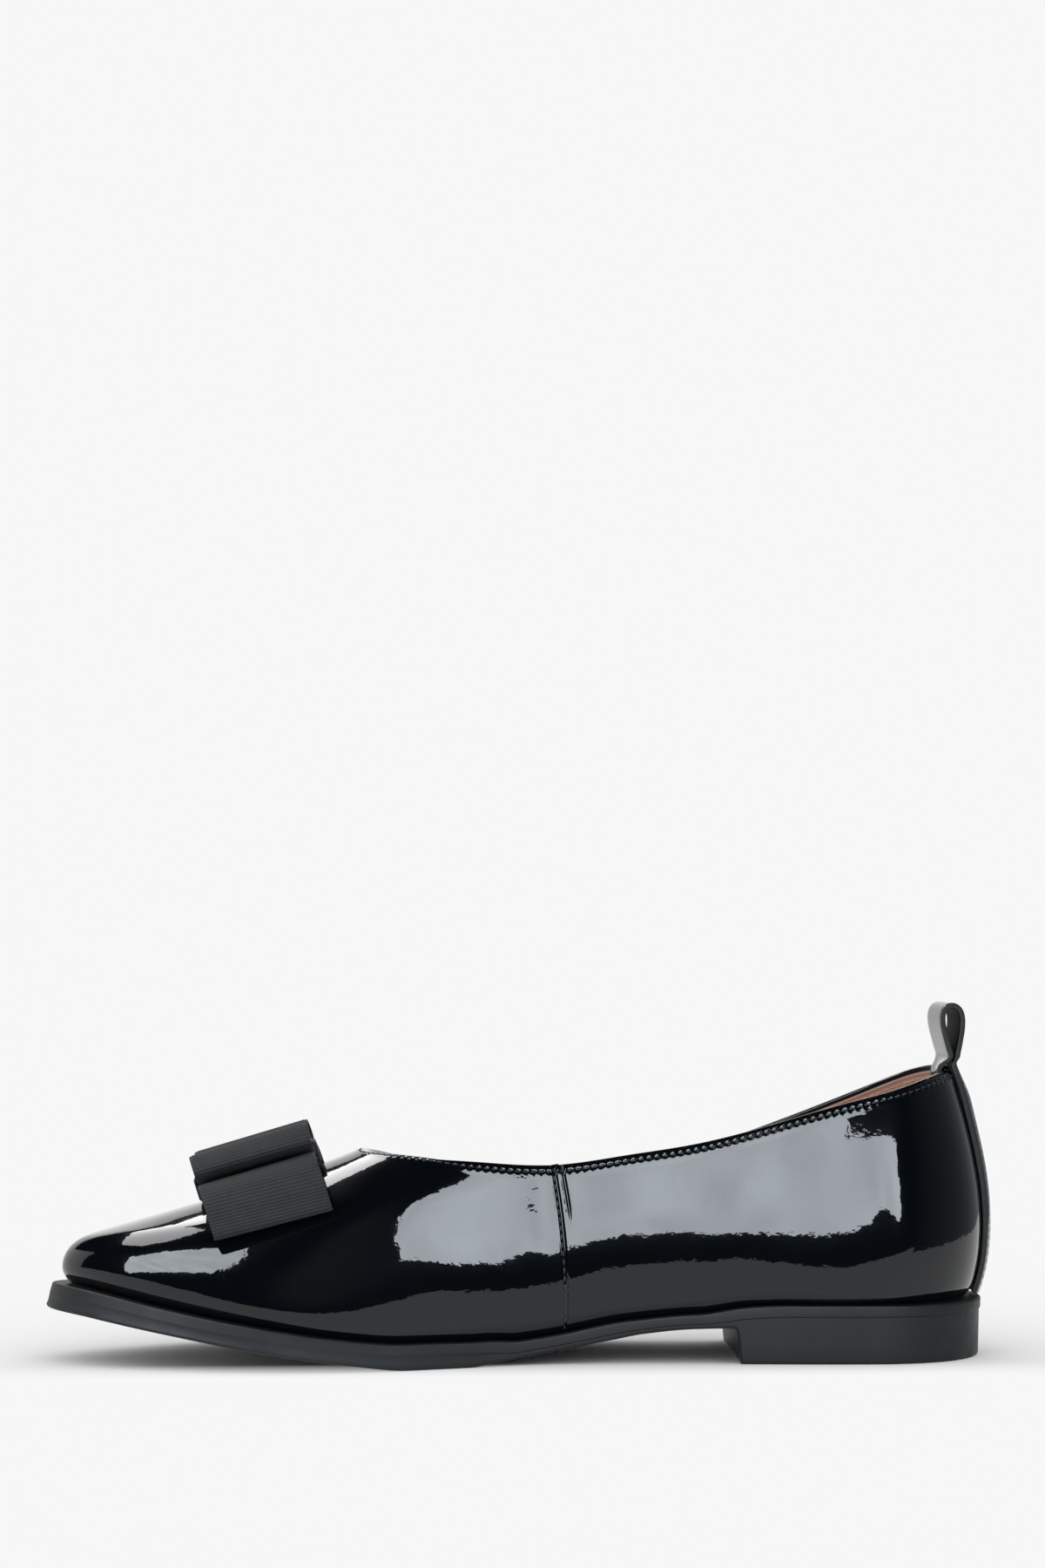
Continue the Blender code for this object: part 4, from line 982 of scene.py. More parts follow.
def make_upper(context):
    """Outer skin, rolled rim and inner face. UV is the count of stitches along the topline and the distance
    down from it in metres.
    """
    rim_depth, rim_edge = 0.0010, 0.00010
    _, _, outer, normal, from_top = upper_grid()
    turned = 1 / (1 + np.exp(np.minimum((from_top - rim_depth) / rim_edge, 60)))
    depth = SKIN_DEPTH + (UPPER_WALL - SKIN_DEPTH) * turned
    ring = in_world(rim_and_inside(outer, normal, depth))
    columns, rows = ring.shape[:2]
    faces = quads(columns, rows, True, True)
    line = ring[:, int(np.argmin(np.abs(from_top[0] - context.scene.flat_sizes.stitch_inset)))]
    line = np.concatenate([line, line[:1]])
    count, length = stitch_count(line)
    along = np.concatenate([[0], np.cumsum(np.linalg.norm(np.diff(line, axis=0), axis=1))])
    along = along * count / length
    down = np.full((columns, rows), -0.01)
    down[:, : from_top.shape[1]] = from_top
    uv = np.stack([np.repeat(along[:-1], rows)[faces], down.ravel()[faces]], axis=-1)
    uv[faces[:, 0] // rows == columns - 1, 2:, 0] = count
    leather = finish("Patent leather")
    shell = piece("upper_patent", ring.reshape(-1, 3), faces, leather, uv=uv)
    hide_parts("upper")


def make_lining(context):
    """The lining: a leaf inside the upper from the sole to just below the rolled edge, with a round top."""
    top_edge = 0.0010
    _, _, outer, normal, from_top = upper_grid(tuck=0.0)
    below = from_top[0] > top_edge
    outer, normal = outer[:, below], normal[:, below]
    back, front = outer - normal * LINING_BACK, outer - normal * LINING_FRONT
    tip = (back[:, -1:] + front[:, -1:]) / 2 + (outer[:, -1:] - outer[:, -2:-1]) * 1.2
    rows = np.concatenate([back[:, hidden_rows(back.shape[1])], tip, front[:, ::-1]], axis=1)
    ring = in_world(rows)
    faces = quads(ring.shape[0], ring.shape[1], True, True)
    leaf = piece("lining", ring.reshape(-1, 3), faces, finish("Lining leather"))
    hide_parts("upper")


# Sole and insole


def radial_rows(spine, edge, shares, height):
    """Rows from the spine to an edge row: spine + share * (edge - spine) in plan, at height(at, share)."""
    rows = []
    for share in shares:
        at = spine + share * (edge[:, 0] - spine)
        rows.append(np.stack([at, share * edge[:, 1], height(at, share)], axis=-1))
    return rows


def make_outsole(context):
    """Each line runs from the spine out over the top, round the lip, down the side and in under the sole.

    Round edges are quarter circles between the level and the upright stretch. The side leans out by flare *
    (depth below the top) / (thickness), and steps in under the rim band, less so along the forepart.
    """
    lip, floor_edge, edge_gap = 0.0006, 0.0009, 0.0004
    above_band, band_corner = 0.00035, 0.0001
    fade_end, fade_length, fade_least = 0.62, 0.12, 0.15
    breast = HEEL_LENGTH + np.array([-0.4, 0.6]) * BREAST_SLANT
    heel = np.linspace(HEEL_ROUND, breast[0] - edge_gap, 34)
    fillet = breast[1] + BREAST_FILLET * np.array([0.0, 0.5, 1.0])
    forepart = np.linspace(fillet[-1], LENGTH - TOE_ROUND, 100)[1:-1]
    station, side = stations_round(0.0, LENGTH, 46, np.concatenate([heel, breast[:1], fillet, forepart]), 76)
    top, bottom, thick = topside(station), underside(station), sole_thick(station / LENGTH)
    fall = np.clip((station - breast[1]) / BREAST_FILLET, 0, 1)
    hollow = BREAST_FILLET * (1 - np.sqrt(1 - (1 - fall) ** 2))
    bottom = bottom - np.where(station > breast[0] + 1e-6, hollow, 0)
    bottom = np.where(station < breast[0] + 1e-6, 0.0, bottom)
    band = top - np.minimum(RIM_BAND, BAND_SHARE * thick)
    flare = sole_flare(station / LENGTH)
    quarter = np.linspace(0, math.pi / 2, 6)
    profile = [(lip * (1 - math.sin(a)), top - lip * (1 - math.cos(a))) for a in quarter]
    step = RIM_STEP * np.clip((fade_end - station / LENGTH) / fade_length, fade_least, 1)

    def leaning(z, inset=0.0):
        return inset - flare * (top - z) / (top - bottom), z

    profile += [leaning(band + above_band), leaning(band), leaning(band - band_corner, 0.35 * step)]
    below = band - RIM_STEP
    profile += [leaning(below, step)]
    profile += [leaning(below + share * (bottom + floor_edge - below), step) for share in (0.3, 0.6)]
    for a in quarter:
        inset = step - flare + floor_edge * (1 - math.cos(a))
        profile.append((inset, bottom + floor_edge * (1 - math.sin(a))))
    spine = np.clip(station, SPINE_HEEL, SPINE_TOE)
    rows = []
    for inset, z in profile:
        inset = np.broadcast_to(np.asarray(inset, float), station.shape)
        at = inset + (station / LENGTH) * (LENGTH - 2 * inset)
        y = side * half_width(at, side, inset, inset, LENGTH - inset)
        rows.append(np.stack([at, y, np.broadcast_to(z, station.shape)], axis=-1))
    shares = np.linspace(0, 1, 12)[:-1]
    curved = station >= LENGTH - TOE_ROUND
    over = radial_rows(spine, rows[0], shares, lambda at, share: topside(at))
    under = radial_rows(
        spine, rows[-1], shares[::-1], lambda at, share: np.where(curved, underside(at), bottom))
    points = in_world(np.stack(over + rows + under, axis=1))
    faces = quads(points.shape[0], points.shape[1], True, False)
    rubber = finish("Sole rubber")
    sole = piece("outsole_rubber", points.reshape(-1, 3), faces, rubber, sharp=32)
    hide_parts("outsole")


def make_insole(context):
    """Sock and its foam: a dished top, round edge and flat underside.

    The top is dish * (1 - share^2) lower towards the middle. The side spreads with height by a share of the
    width, so that the top edge meets the lining's bulge.
    """
    inset = UPPER_WALL + GAP
    heel_end, toe_end = FEATHER_HEEL + inset, FEATHER_TOE - inset
    middle = np.linspace(heel_end + HEEL_ROUND, toe_end - TOE_ROUND, 90)[:-1]
    station, side = stations_round(heel_end, toe_end, 30, middle, 50)
    share = (station - heel_end) / (toe_end - heel_end)
    spine = np.clip(station, SPINE_HEEL, SPINE_TOE)
    quarter = np.linspace(0, math.pi / 2, 5)
    edge, dish = 0.0008, 0.0004
    profile = [(edge * (1 - math.sin(a)), INSOLE_THICK - edge * (1 - math.cos(a))) for a in quarter]
    rows = []
    for more, rise in profile + [(0, 0)]:
        at = heel_end + more + share * (toe_end - heel_end - 2 * more)
        spread_out = 1 + np.interp(at, *SOCK_SPREAD) * rise / INSOLE_THICK
        half = spread_out * feather(at, side, inset + more)
        rows.append(np.stack([at, side * half, topside(at) + GAP + rise], axis=-1))
    shares = np.linspace(0, 1, 16)[:-1]
    over = radial_rows(
        spine, rows[0], shares, lambda at, s: topside(at) + GAP + INSOLE_THICK - dish * (1 - s**2))
    under = radial_rows(spine, rows[-1], shares[::-3], lambda at, s: topside(at) + GAP)
    under[-1][:, 0], under[-1][:, 1] = spine, 0.0
    points = in_world(np.stack(over + rows + under, axis=1))
    faces = quads(points.shape[0], points.shape[1], True, False)
    sock = piece("sock", points.reshape(-1, 3), faces, finish("Lining leather"))
    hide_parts("insole")


# Heel strap


def back_lines():
    """A few lines up the upper's back, from the middle outwards, that give its roundness."""
    turn = np.linspace(0, 0.2 * math.pi, 5)
    at = FEATHER_HEEL + HEEL_ROUND * (1 - np.cos(turn))
    return upper_lines(at, np.full(5, LATERAL), np.zeros(5), 300)


def strap_path(count):
    """Middle line of the heel strap as (station, height), up the back, round the loop and down inside, and
    the station of the upper's top edge.
    """
    line = upper_lines(np.array([FEATHER_HEEL]), np.array([MEDIAL]), np.zeros(1))
    even = np.linspace(0, 1, 40)[None] ** 1.35 * row_length(line)
    back = resample(line, even)[0][:, [0, 2]]
    toward_toe = side_normals(back)
    outer = back - toward_toe * (GAP + STRAP_THICK / 2)
    inner = back + toward_toe * (UPPER_WALL + 2 * GAP + STRAP_THICK / 2)
    rim = np.array([0.0, GAP])
    outer = [*outer[outer[:, 1] > float(topside(0.0)) + 2 * GAP][:-3:5], outer[-1] + rim]
    inner = [inner[-1] + rim, *inner[inner[:, 1] > BACK_HEIGHT - INNER_LEG][::-1][2::3]]
    middle = (back[-1] + toward_toe[-1] * UPPER_WALL / 2)[0]
    neck, half = (STRAP_THICK + 1.2 * GAP) / 2, (LOOP_WIDTH - STRAP_THICK) / 2
    top = LOOP_HEIGHT - STRAP_THICK / 2
    centre = middle + LOOP_SHIFT
    rise, fall = (
        [
            (centre + way * (neck + share * (half - neck)) + up * LOOP_LEAN, BACK_HEIGHT + up * top)
            for up, share in LOOP_SIDE
        ]
        for way in (-1, 1)
    )
    crest = [(centre + LOOP_LEAN, BACK_HEIGHT + top)]
    return smooth_path([*outer, *rise, *crest, *fall[::-1], *inner], count), middle


def strap_grid(across, thick, count=300):
    """The strap's surface at offsets across its width and through its thickness: (steps, offsets, 3).

    Below the collar it bends round the heel by bend * across^2, and its outside is crowned by crown *
    (1 - (2 across / width)^2). Above the collar it eases into a flat loop, turned a little.
    """
    path, middle = strap_path(count)
    normal = side_normals(path)
    lines = back_lines()
    height = np.minimum(path[:, 1], COLLAR_HEIGHT)
    plan = np.stack([[np.interp(height, line[:, 2], line[:, k]) for k in range(2)] for line in lines])
    bend = (plan[3, 0] - plan[0, 0]) / plan[3, 1] ** 2
    free = ease((path[:, 1] - COLLAR_HEIGHT) / (0.16 * LOOP_HEIGHT))[:, None]
    outside = path[:, 0] < middle
    crowned = (ease((COLLAR_HEIGHT - path[:, 1]) / 0.010) * outside)[:, None]
    crowned = STRAP_CROWN * crowned * (1 - (across * 2 / STRAP_WIDTH) ** 2) * (thick < 0)
    bend = (bend * np.where(path[:, 0] > middle, 1.10, 1.0))[:, None]
    station = path[:, :1] + normal[:, :1] * thick + bend * across**2 * (1 - free) - crowned
    z = path[:, 1:] + normal[:, 1:] * thick + 0 * across
    turn = LOOP_TWIST * free
    turned_s = middle + (station - middle) * np.cos(turn) + across * np.sin(turn)
    turned_y = across * np.cos(turn) - (station - middle) * np.sin(turn)
    return place(turned_s, turned_y, z)


def make_heel_strap(context):
    """One strip with round corners, closed at both ends. Face, cut edge and underside differ in finish."""
    half, thick, corner = STRAP_WIDTH / 2, STRAP_THICK / 2, 0.00045
    quarter = np.linspace(0, math.pi / 2, 5)
    flat = np.linspace(-1, 1, 9)[1:-1] * (half - corner)
    corner_y = half - corner + corner * np.sin(quarter)
    corner_t = thick - corner + corner * np.cos(quarter)
    across = np.concatenate([flat, corner_y, corner_y[::-1], flat[::-1], -corner_y, -corner_y[::-1]])
    level = np.full(len(flat), thick)
    through = np.concatenate([level, corner_t, -corner_t[::-1], -level, -corner_t, corner_t[::-1]])
    ring = strap_grid(across[None], through[None])
    steps, size = ring.shape[:2]
    edge, beneath = np.abs(across) > half - 0.35 * corner, through > 0
    on_edge, beneath = edge & np.roll(edge, -1), beneath & np.roll(beneath, -1)
    which = np.tile(np.where(on_edge, 1, np.where(beneath, 2, 0)), steps - 1)
    points = ring.reshape(-1, 3)
    points = np.concatenate([points, [points[:size].mean(0)], [points[-size:].mean(0)]])
    around = np.stack([np.arange(size), np.roll(np.arange(size), -1)], axis=1)
    count = steps * size
    first = np.column_stack([around, np.full(size, count)])
    last = np.column_stack([around + count - size, np.full(size, count + 1)])
    faces = quads(steps, size, False, True).tolist() + first.tolist() + last.tolist()
    which = np.concatenate([which, np.ones(2 * size, int)])
    mesh = bpy.data.meshes.new("heel_strap_leather")
    mesh.from_pydata(points.tolist(), [], faces)
    for name in ("Strap leather", "Cut edge", "Strap underside"):
        mesh.materials.append(finish(name))
    mesh.polygons.foreach_set("material_index", which.astype(np.int32))
    shape = bmesh.new()
    shape.from_mesh(mesh)
    bmesh.ops.recalc_face_normals(shape, faces=shape.faces)
    shape.to_mesh(mesh)
    shape.free()
    mesh.shade_smooth()
    strap = shoe_object("heel_strap_leather", mesh)
    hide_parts("heel_strap")


# Bow


def bow_tilt():
    """Slope of the vamp's ridge under the bow."""
    behind, ahead = BOW_STATION - RIBBON_WIDTH / 2, BOW_STATION + RIBBON_WIDTH / 2
    return math.atan2(float(ridge(behind / LENGTH) - ridge(ahead / LENGTH)), RIBBON_WIDTH)


def bow_place(along, y, up):
    """World points from the bow's frame: along the ridge towards the heel, across, and square to it."""
    tilt = bow_tilt()
    station = BOW_STATION - along * math.cos(tilt) + up * math.sin(tilt)
    height = float(ridge(BOW_STATION / LENGTH)) + along * math.sin(tilt) + up * math.cos(tilt)
    return place(station, y, height)


def vamp_under_bow(y):
    """Highest point of the vamp below the ribbon's width, at a distance y from the middle."""
    tilt, base = bow_tilt(), float(ridge(BOW_STATION / LENGTH))
    along = np.linspace(-0.5, 0.5, 9) * (RIBBON_WIDTH + 2 * BAND_BULGE)
    up = np.zeros(len(along))
    for _ in range(12):
        station = BOW_STATION - along * math.cos(tilt) + up * math.sin(tilt)
        up = (upper_height(station, y) - base - along * math.sin(tilt)) / math.cos(tilt)
    return float(up.max())


def closed_path(half, count):
    """Even points round a closed path, from the points of its half at y >= 0, running from bottom to top."""
    half = list(half)
    mirror = [(-y, up) for y, up in half[::-1] if y > 0]
    ring = half + mirror
    wrapped = ring[-4:] + ring + ring[:5]
    points = np.array(wrapped, float)
    chord = np.concatenate([[0], np.cumsum(np.linalg.norm(np.diff(points, axis=0), axis=1))])
    rows = np.column_stack([chord, points])
    at = np.linspace(chord[4], chord[4 + len(ring)], count + 1)[:-1]
    return np.stack([smooth(rows, 1)(at), smooth(rows, 2)(at)], axis=-1)


def lower_half():
    """Half of the lower tier's middle line: along the vamp, round the loop's end and back to the middle."""
    lift = 2 * GAP + 1.5 * RIBBON_THICK
    middle = vamp_under_bow(0.0) + lift
    run = [(0.0, middle), (0.55 * BAND_WIDTH, middle)]
    for share, rise in LOWER_RUN:
        run.append((share * LOWER_HALF, vamp_under_bow(share * LOWER_HALF) + rise * lift))
    end = run[-1][1]
    run += [(share * LOWER_HALF, end + rise * LOWER_RISE) for share, rise in LOWER_END]
    run += [(share * LOWER_HALF, rise * LOWER_RISE) for share, rise in LOWER_TOP]
    top = middle + RIBBON_THICK + GAP
    return run + [(0.6 * BAND_WIDTH, top + 0.1 * RIBBON_THICK), (0.0, top)]


def top_of(path, y):
    """Height of the upper run of a tier's middle line at a distance y from the middle."""
    upper_run = path[: len(path) // 2 + 1]
    upper_run = upper_run[np.argmax(upper_run[:, 0]) :]
    order = np.argsort(upper_run[:, 0])
    return float(np.interp(y, upper_run[order, 0], upper_run[order, 1]))


def upper_half(lower):
    """Half of the upper tier's middle line, which rests on the lower tier."""
    lift = RIBBON_THICK + 1.5 * GAP
    run = [(share * UPPER_HALF, top_of(lower, share * UPPER_HALF) + lift) for share in UPPER_RUN]
    end = run[-1][1]
    run.append((UPPER_HALF, end + 0.36 * (UPPER_RISE - end)))
    run += [(share * UPPER_HALF, rise * UPPER_RISE) for share, rise in UPPER_TOP]
    top = run[0][1] + RIBBON_THICK + GAP
    return run + [(0.24 * UPPER_HALF, top + 0.9 * RIBBON_THICK), (0.0, top)]


def tier_place(along, y, up, lift=0.0, grown=0.0):
    """A tier's loops swing towards the heel and turn down there, by the square of the distance out. The loop
    on the inner side stands higher by lift, and its top by grown as well.
    """
    inner_reach, low_run, top_run = 0.018, 0.002, 0.006
    out = (y / LOWER_HALF) ** 2
    inner = ease(-y / inner_reach)
    up = up + inner * (lift + grown * np.clip((up + low_run) / top_run, 0, 1))
    return bow_place(along + LOOP_SWEEP * out, y, up - LOOP_DROP * out * along / (RIBBON_WIDTH / 2))


def ribbon_grid(path, width):
    """A closed ribbon round a flat path, with ribs across it: path + normal * (half thickness + rib).

    The rib is height * |sin(pi * length / pitch)|, flat along the selvedge. Returns offsets across the width,
    the two flat coordinates, and the UV as length along and width across.
    """
    sizes = bpy.context.scene.flat_sizes
    normal = side_normals(path, closed=True)
    step = np.linalg.norm(np.roll(path, -1, axis=0) - path, axis=1)
    length = np.concatenate([[0], np.cumsum(step)[:-1]])
    total = step.sum()
    pitch = total / round(total / sizes.rib_pitch)
    rib = np.abs(np.sin(math.pi * length / pitch)) * sizes.rib_height
    half, thin = width / 2, RIBBON_THICK / 2 - 0.7 * sizes.rib_height
    flat = sizes.selvedge
    across = np.array([-half, -half + 0.25 * flat, -half + flat, -half + 1.3 * flat])
    across = np.concatenate([across, [0.0], -across[::-1]])
    ribbed = np.array([0.0, 0.15, 0.15, 1.0, 1.0, 1.0, 0.15, 0.15, 0.0])
    body = np.array([0.45, 1.0, 1.0, 1.0, 1.0, 1.0, 1.0, 1.0, 0.45])
    offset = thin * body[None, :] + rib[:, None] * ribbed[None, :]
    outside = path[:, None] + normal[:, None] * offset[..., None]
    inside = path[:, None] - normal[:, None] * offset[..., None]
    flat_points = np.concatenate([outside, inside[:, ::-1]], axis=1)
    along = np.concatenate([across, across[::-1]])
    return along, flat_points, length / pitch


def ribbon_piece(name, path, width, put):
    """A ribbon round a path, placed by put(across, side, up)."""
    along, flat_points, ribs = ribbon_grid(path, width)
    points = put(along[None, :], flat_points[..., 0], flat_points[..., 1])
    columns, rows = points.shape[:2]
    faces = quads(columns, rows, True, True)
    u = np.repeat(ribs, rows)
    v = np.tile(along, columns)
    uv = np.stack([u[faces], v[faces]], axis=-1)
    last = faces[:, 0] // rows == columns - 1
    uv[last, 2:, 0] = ribs[-1] + ribs[1]
    return piece(name, points.reshape(-1, 3), faces, finish("Grosgrain"), uv=uv)


def round_length(path):
    """Length once round a closed path."""
    return float(np.linalg.norm(np.roll(path, -1, axis=0) - path, axis=1).sum())


def rib_steps(path):
    """How many steps a path needs for eight to each rib."""
    return 8 * round(round_length(path) / bpy.context.scene.flat_sizes.rib_pitch)


def band_path(low, high, count):
    """The band's middle line: a box with round corners, over the tiers, round their edges and back under."""
    end = RIBBON_WIDTH / 2 + BAND_BULGE - RIBBON_THICK / 2
    corner = np.array([end - BAND_CORNER, (high - low) / 2 - BAND_CORNER])
    quarter = np.linspace(0, math.pi / 2, 40)
    arc = np.stack([np.cos(quarter), np.sin(quarter)], axis=-1) * BAND_CORNER
    ways = ((1, 1, arc), (-1, 1, arc[::-1]), (-1, -1, arc), (1, -1, arc[::-1]))
    ring = np.concatenate([(corner + turn) * (x, y) for x, y, turn in ways])
    ring = np.concatenate([ring, ring[:1]])[::-1]
    even = resample(ring[None], np.linspace(0, row_length(ring[None])[0], count + 1)[None, :-1])[0]
    return even + np.array([0.0, (low + high) / 2])


def make_bow(context):
    """Two tiers and the band round their middles. The rough paths give the ribs' count for the fine ones."""
    lower = closed_path(lower_half(), 76)
    upper = closed_path(upper_half(lower), 64)
    low = vamp_under_bow(0.0) + GAP + RIBBON_THICK / 2
    high = max(top_of(upper, y) for y in np.linspace(0, BAND_WIDTH / 2, 5)) + RIBBON_THICK + GAP
    fine_lower = closed_path(lower_half(), rib_steps(lower))
    fine_upper = closed_path(upper_half(lower), rib_steps(upper))
    made = ribbon_piece(
        "bow_lower_ribbon", fine_lower, RIBBON_WIDTH, lambda x, y, up: tier_place(x, y, up, grown=0.0009))
    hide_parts("bow_lower")
    made = ribbon_piece(
        "bow_upper_ribbon", fine_upper, RIBBON_WIDTH, lambda x, y, up: tier_place(x, y, up, lift=0.0018))
    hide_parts("bow_upper")
    band = band_path(low, high, rib_steps(band_path(low, high, 400)))
    made = ribbon_piece("bow_band_ribbon", band, BAND_WIDTH, lambda along, x, up: bow_place(x, along, up))
    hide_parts("bow_band")


# Stitching


def stitch_shape():
    """One stitch along X: a capsule of unit length and unit thickness, with six sides and six rings."""
    along = np.array([-0.5, -0.44, -0.30, 0.30, 0.44, 0.5])
    radius = np.array([0.0, 0.30, 0.50, 0.50, 0.30, 0.0])
    turn = np.arange(6) * math.pi / 3
    y, z = np.outer(radius, np.cos(turn)), np.outer(radius, np.sin(turn))
    points = np.stack([np.repeat(along[:, None], 6, axis=1), y, z], axis=-1)
    return points.reshape(-1, 3), quads(6, 6, False, True)


def stitch_row(name, line, normal, material, sink=0.15):
    """Stitches at an even pitch along a line of points, sunk by a share of the thread in the surface under
    them, whose normals are given.
    """
    reach = 0.0004
    sizes = bpy.context.scene.flat_sizes
    count, length = stitch_count(line)
    middle = (np.arange(count) + 0.5) * length / count
    both = np.concatenate([line, normal], axis=1)
    step = np.linalg.norm(np.diff(line, axis=0), axis=1)
    at = np.concatenate([[0], np.cumsum(step)])
    sample = np.stack([np.interp(middle, at, both[:, k]) for k in range(6)], axis=-1)
    ahead = np.stack([np.interp(middle + reach, at, line[:, k]) for k in range(3)], axis=-1)
    before = np.stack([np.interp(middle - reach, at, line[:, k]) for k in range(3)], axis=-1)
    x = ahead - before
    x /= np.linalg.norm(x, axis=1, keepdims=True)
    z = sample[:, 3:] / np.linalg.norm(sample[:, 3:], axis=1, keepdims=True)
    y = np.cross(z, x)
    shape, faces = stitch_shape()
    sized = shape * [sizes.stitch_length, sizes.thread_thick, sizes.thread_thick]
    centre = sample[:, :3] + z * sizes.thread_thick * (0.5 - sink)
    points = centre[:, None] + sized[None, :, :1] * x[:, None] + sized[None, :, 1:2] * y[:, None]
    points = points + sized[None, :, 2:] * z[:, None]
    faces = (faces[None] + np.arange(count)[:, None, None] * len(shape)).reshape(-1, 4)
    return piece(name, points.reshape(-1, 3), faces, material)


def world_row(grid, row):
    """A row of the upper's grid in the world, closed, and its outward normals."""
    points = in_world(grid)
    normal = grid_normals(points)
    middle = points.mean(axis=(0, 1))
    sign = np.sign(((points[:, row] - middle) * normal[:, row] * [1, 1, 0.2]).sum(axis=1).mean())
    line, facing = points[:, row], normal[:, row] * sign
    return np.concatenate([line, line[:1]]), np.concatenate([facing, facing[:1]])


def make_stitching(context):
    """Rows of stitches along the topline, the lining, the side seams and the strap's two edges."""
    lining_inset, seam_ahead, strap_inset, strap_stop = 0.0016, 0.0008, 0.0013, 0.002
    dark = finish("Dark thread")
    station, side, outer, normal, from_top = upper_grid()
    inset = context.scene.flat_sizes.stitch_inset
    line, facing = world_row(outer, int(np.argmin(np.abs(from_top[0] - inset))))
    stitch_row("topline_stitches", line, facing, dark, sink=0.30)
    row = int(np.argmin(np.abs(from_top[0] - inset - lining_inset)))
    line, facing = world_row(outer - normal * LINING_FRONT, row)
    stitch_row("lining_stitches", line, -facing, finish("Lining thread"))
    points = in_world(outer)
    normals = grid_normals(points)
    sides = (("medial", MEDIAL), ("lateral", LATERAL))
    for name, way in sides:
        near = np.argmin(np.abs(station - SEAM_STATION - seam_ahead) + (side != way))
        line, facing = points[near, 3:-8], normals[near, 3:-8]
        facing = facing * np.sign((facing[:, 1] * way).mean())
        stitch_row(f"seam_stitches_{name}", line, facing, dark)
    for name, way in sides:
        across = np.array([[way * (STRAP_WIDTH / 2 - strap_inset)]])
        outside = strap_grid(across, np.array([[-STRAP_THICK / 2]]))[:, 0]
        inside = strap_grid(across, np.array([[STRAP_THICK / 2]]))[:, 0]
        keep = slice(4, int(np.argmax(outside[:, 2] > BACK_HEIGHT - strap_stop)))
        facing = (outside - inside)[keep]
        stitch_row(f"strap_stitches_{name}", outside[keep], facing, dark, sink=0.85)


# Stage


def stage_plane(name, corners, material, glossy_only):
    """A flat stage card. One that is glossy_only shows in reflections alone and casts no shadow."""
    mesh = bpy.data.meshes.new(name)
    mesh.from_pydata(corners, [], [tuple(range(len(corners)))])
    mesh.materials.append(material)
    result = bpy.data.objects.new(name, mesh)
    bpy.context.collection.objects.link(result)
    if glossy_only:
        result.visible_camera = False
        result.visible_diffuse = False
        result.visible_shadow = False
        result.visible_transmission = False
    return result


def glow(name, colour, strength, patchy=0.0, fade=None):
    """A plain emitter. patchy is the share by which soft patches a hand wide differ, fade two depths between
    which it comes in.
    """
    made = bpy.data.materials.new(name)
    made.use_nodes = True
    tree = made.node_tree
    tree.nodes.clear()
    light = tree.nodes.new("ShaderNodeEmission")
    light.inputs["Color"].default_value = (*colour, 1.0)
    light.inputs["Strength"].default_value = strength
    if patchy:
        cloud = noise(made, object_place(made), 0.11, 1.0)
        low, high = strength * (1 - patchy), strength * (1 + patchy)
        link(made, spread(made, cloud, 0.3, 0.7, low, high), light.inputs["Strength"])
    if fade:
        depth = node(made, "SeparateXYZ", {"Vector": object_place(made)}, "Y")
        link(made, spread(made, depth, *fade, 0.0, strength), light.inputs["Strength"])
    out = tree.nodes.new("ShaderNodeOutputMaterial")
    tree.links.new(light.outputs[0], out.inputs["Surface"])
    return made


def aimed_outline(directions, centre, distance):
    """Corners of a flat card square to the mean of the given directions, each a turn from the front towards
    the heel side and a rise, in degrees: centre + direction * distance / cosine of the angle to the mean.
    """
    turn, rise = np.radians(np.array(directions, float)).T
    ways = np.stack([np.sin(turn) * np.cos(rise), -np.cos(turn) * np.cos(rise), np.sin(rise)], axis=-1)
    mean = ways.mean(axis=0)
    mean /= np.linalg.norm(mean)
    points = np.array(centre) + ways * (distance / (ways @ mean))[:, None]
    return [tuple(point) for point in points.tolist()]


def floor_material(colour):
    """Matte floor round the shoe that turns into a glow of the plain backdrop's own brightness further out
    and in front of the shoe. This glow is painted light over the outer edge of the shoe's shadow and over the
    shadow in front of it.
    """
    made, shader = start_material("Floor", (1.0, 1.0, 1.0), 1.0)
    shader.inputs["Specular IOR Level"].default_value = 0.0
    place_socket = object_place(made)
    length = made.node_tree.nodes.new("ShaderNodeVectorMath")
    length.operation = "LENGTH"
    middle = made.node_tree.nodes.new("ShaderNodeVectorMath")
    middle.operation = "SUBTRACT"
    middle.inputs[1].default_value = (CAMERA_ALONG, 0.0, 0.0)
    link(made, place_socket, middle.inputs[0])
    link(made, middle.outputs[0], length.inputs[0])
    # Further out the floor glows as bright as the backdrop, which also paints light over the outer edge of
    # the shoe's shadow.
    away = spread(made, length.outputs["Value"], *FLOOR_FAR, 0.0, 1.0)
    depth = node(made, "SeparateXYZ", {"Vector": place_socket}, "Y")
    # Painted light: in front of the shoe the floor glows, so that no shadow shows there.
    before = spread(made, depth, *FLOOR_FRONT, 1.0, 0.0)
    backdrop_glow_and_painted_light = math_node(made, "MAXIMUM", away, before)
    light = made.node_tree.nodes.new("ShaderNodeEmission")
    light.inputs["Color"].default_value = (*colour, 1.0)
    light.inputs["Strength"].default_value = 1.0
    mixer = made.node_tree.nodes.new("ShaderNodeMixShader")
    link(made, backdrop_glow_and_painted_light, mixer.inputs[0])
    link(made, shader.outputs[0], mixer.inputs[1])
    link(made, light.outputs[0], mixer.inputs[2])
    out = next(n for n in made.node_tree.nodes if n.type == "OUTPUT_MATERIAL")
    link(made, mixer.outputs[0], out.inputs["Surface"])
    return made


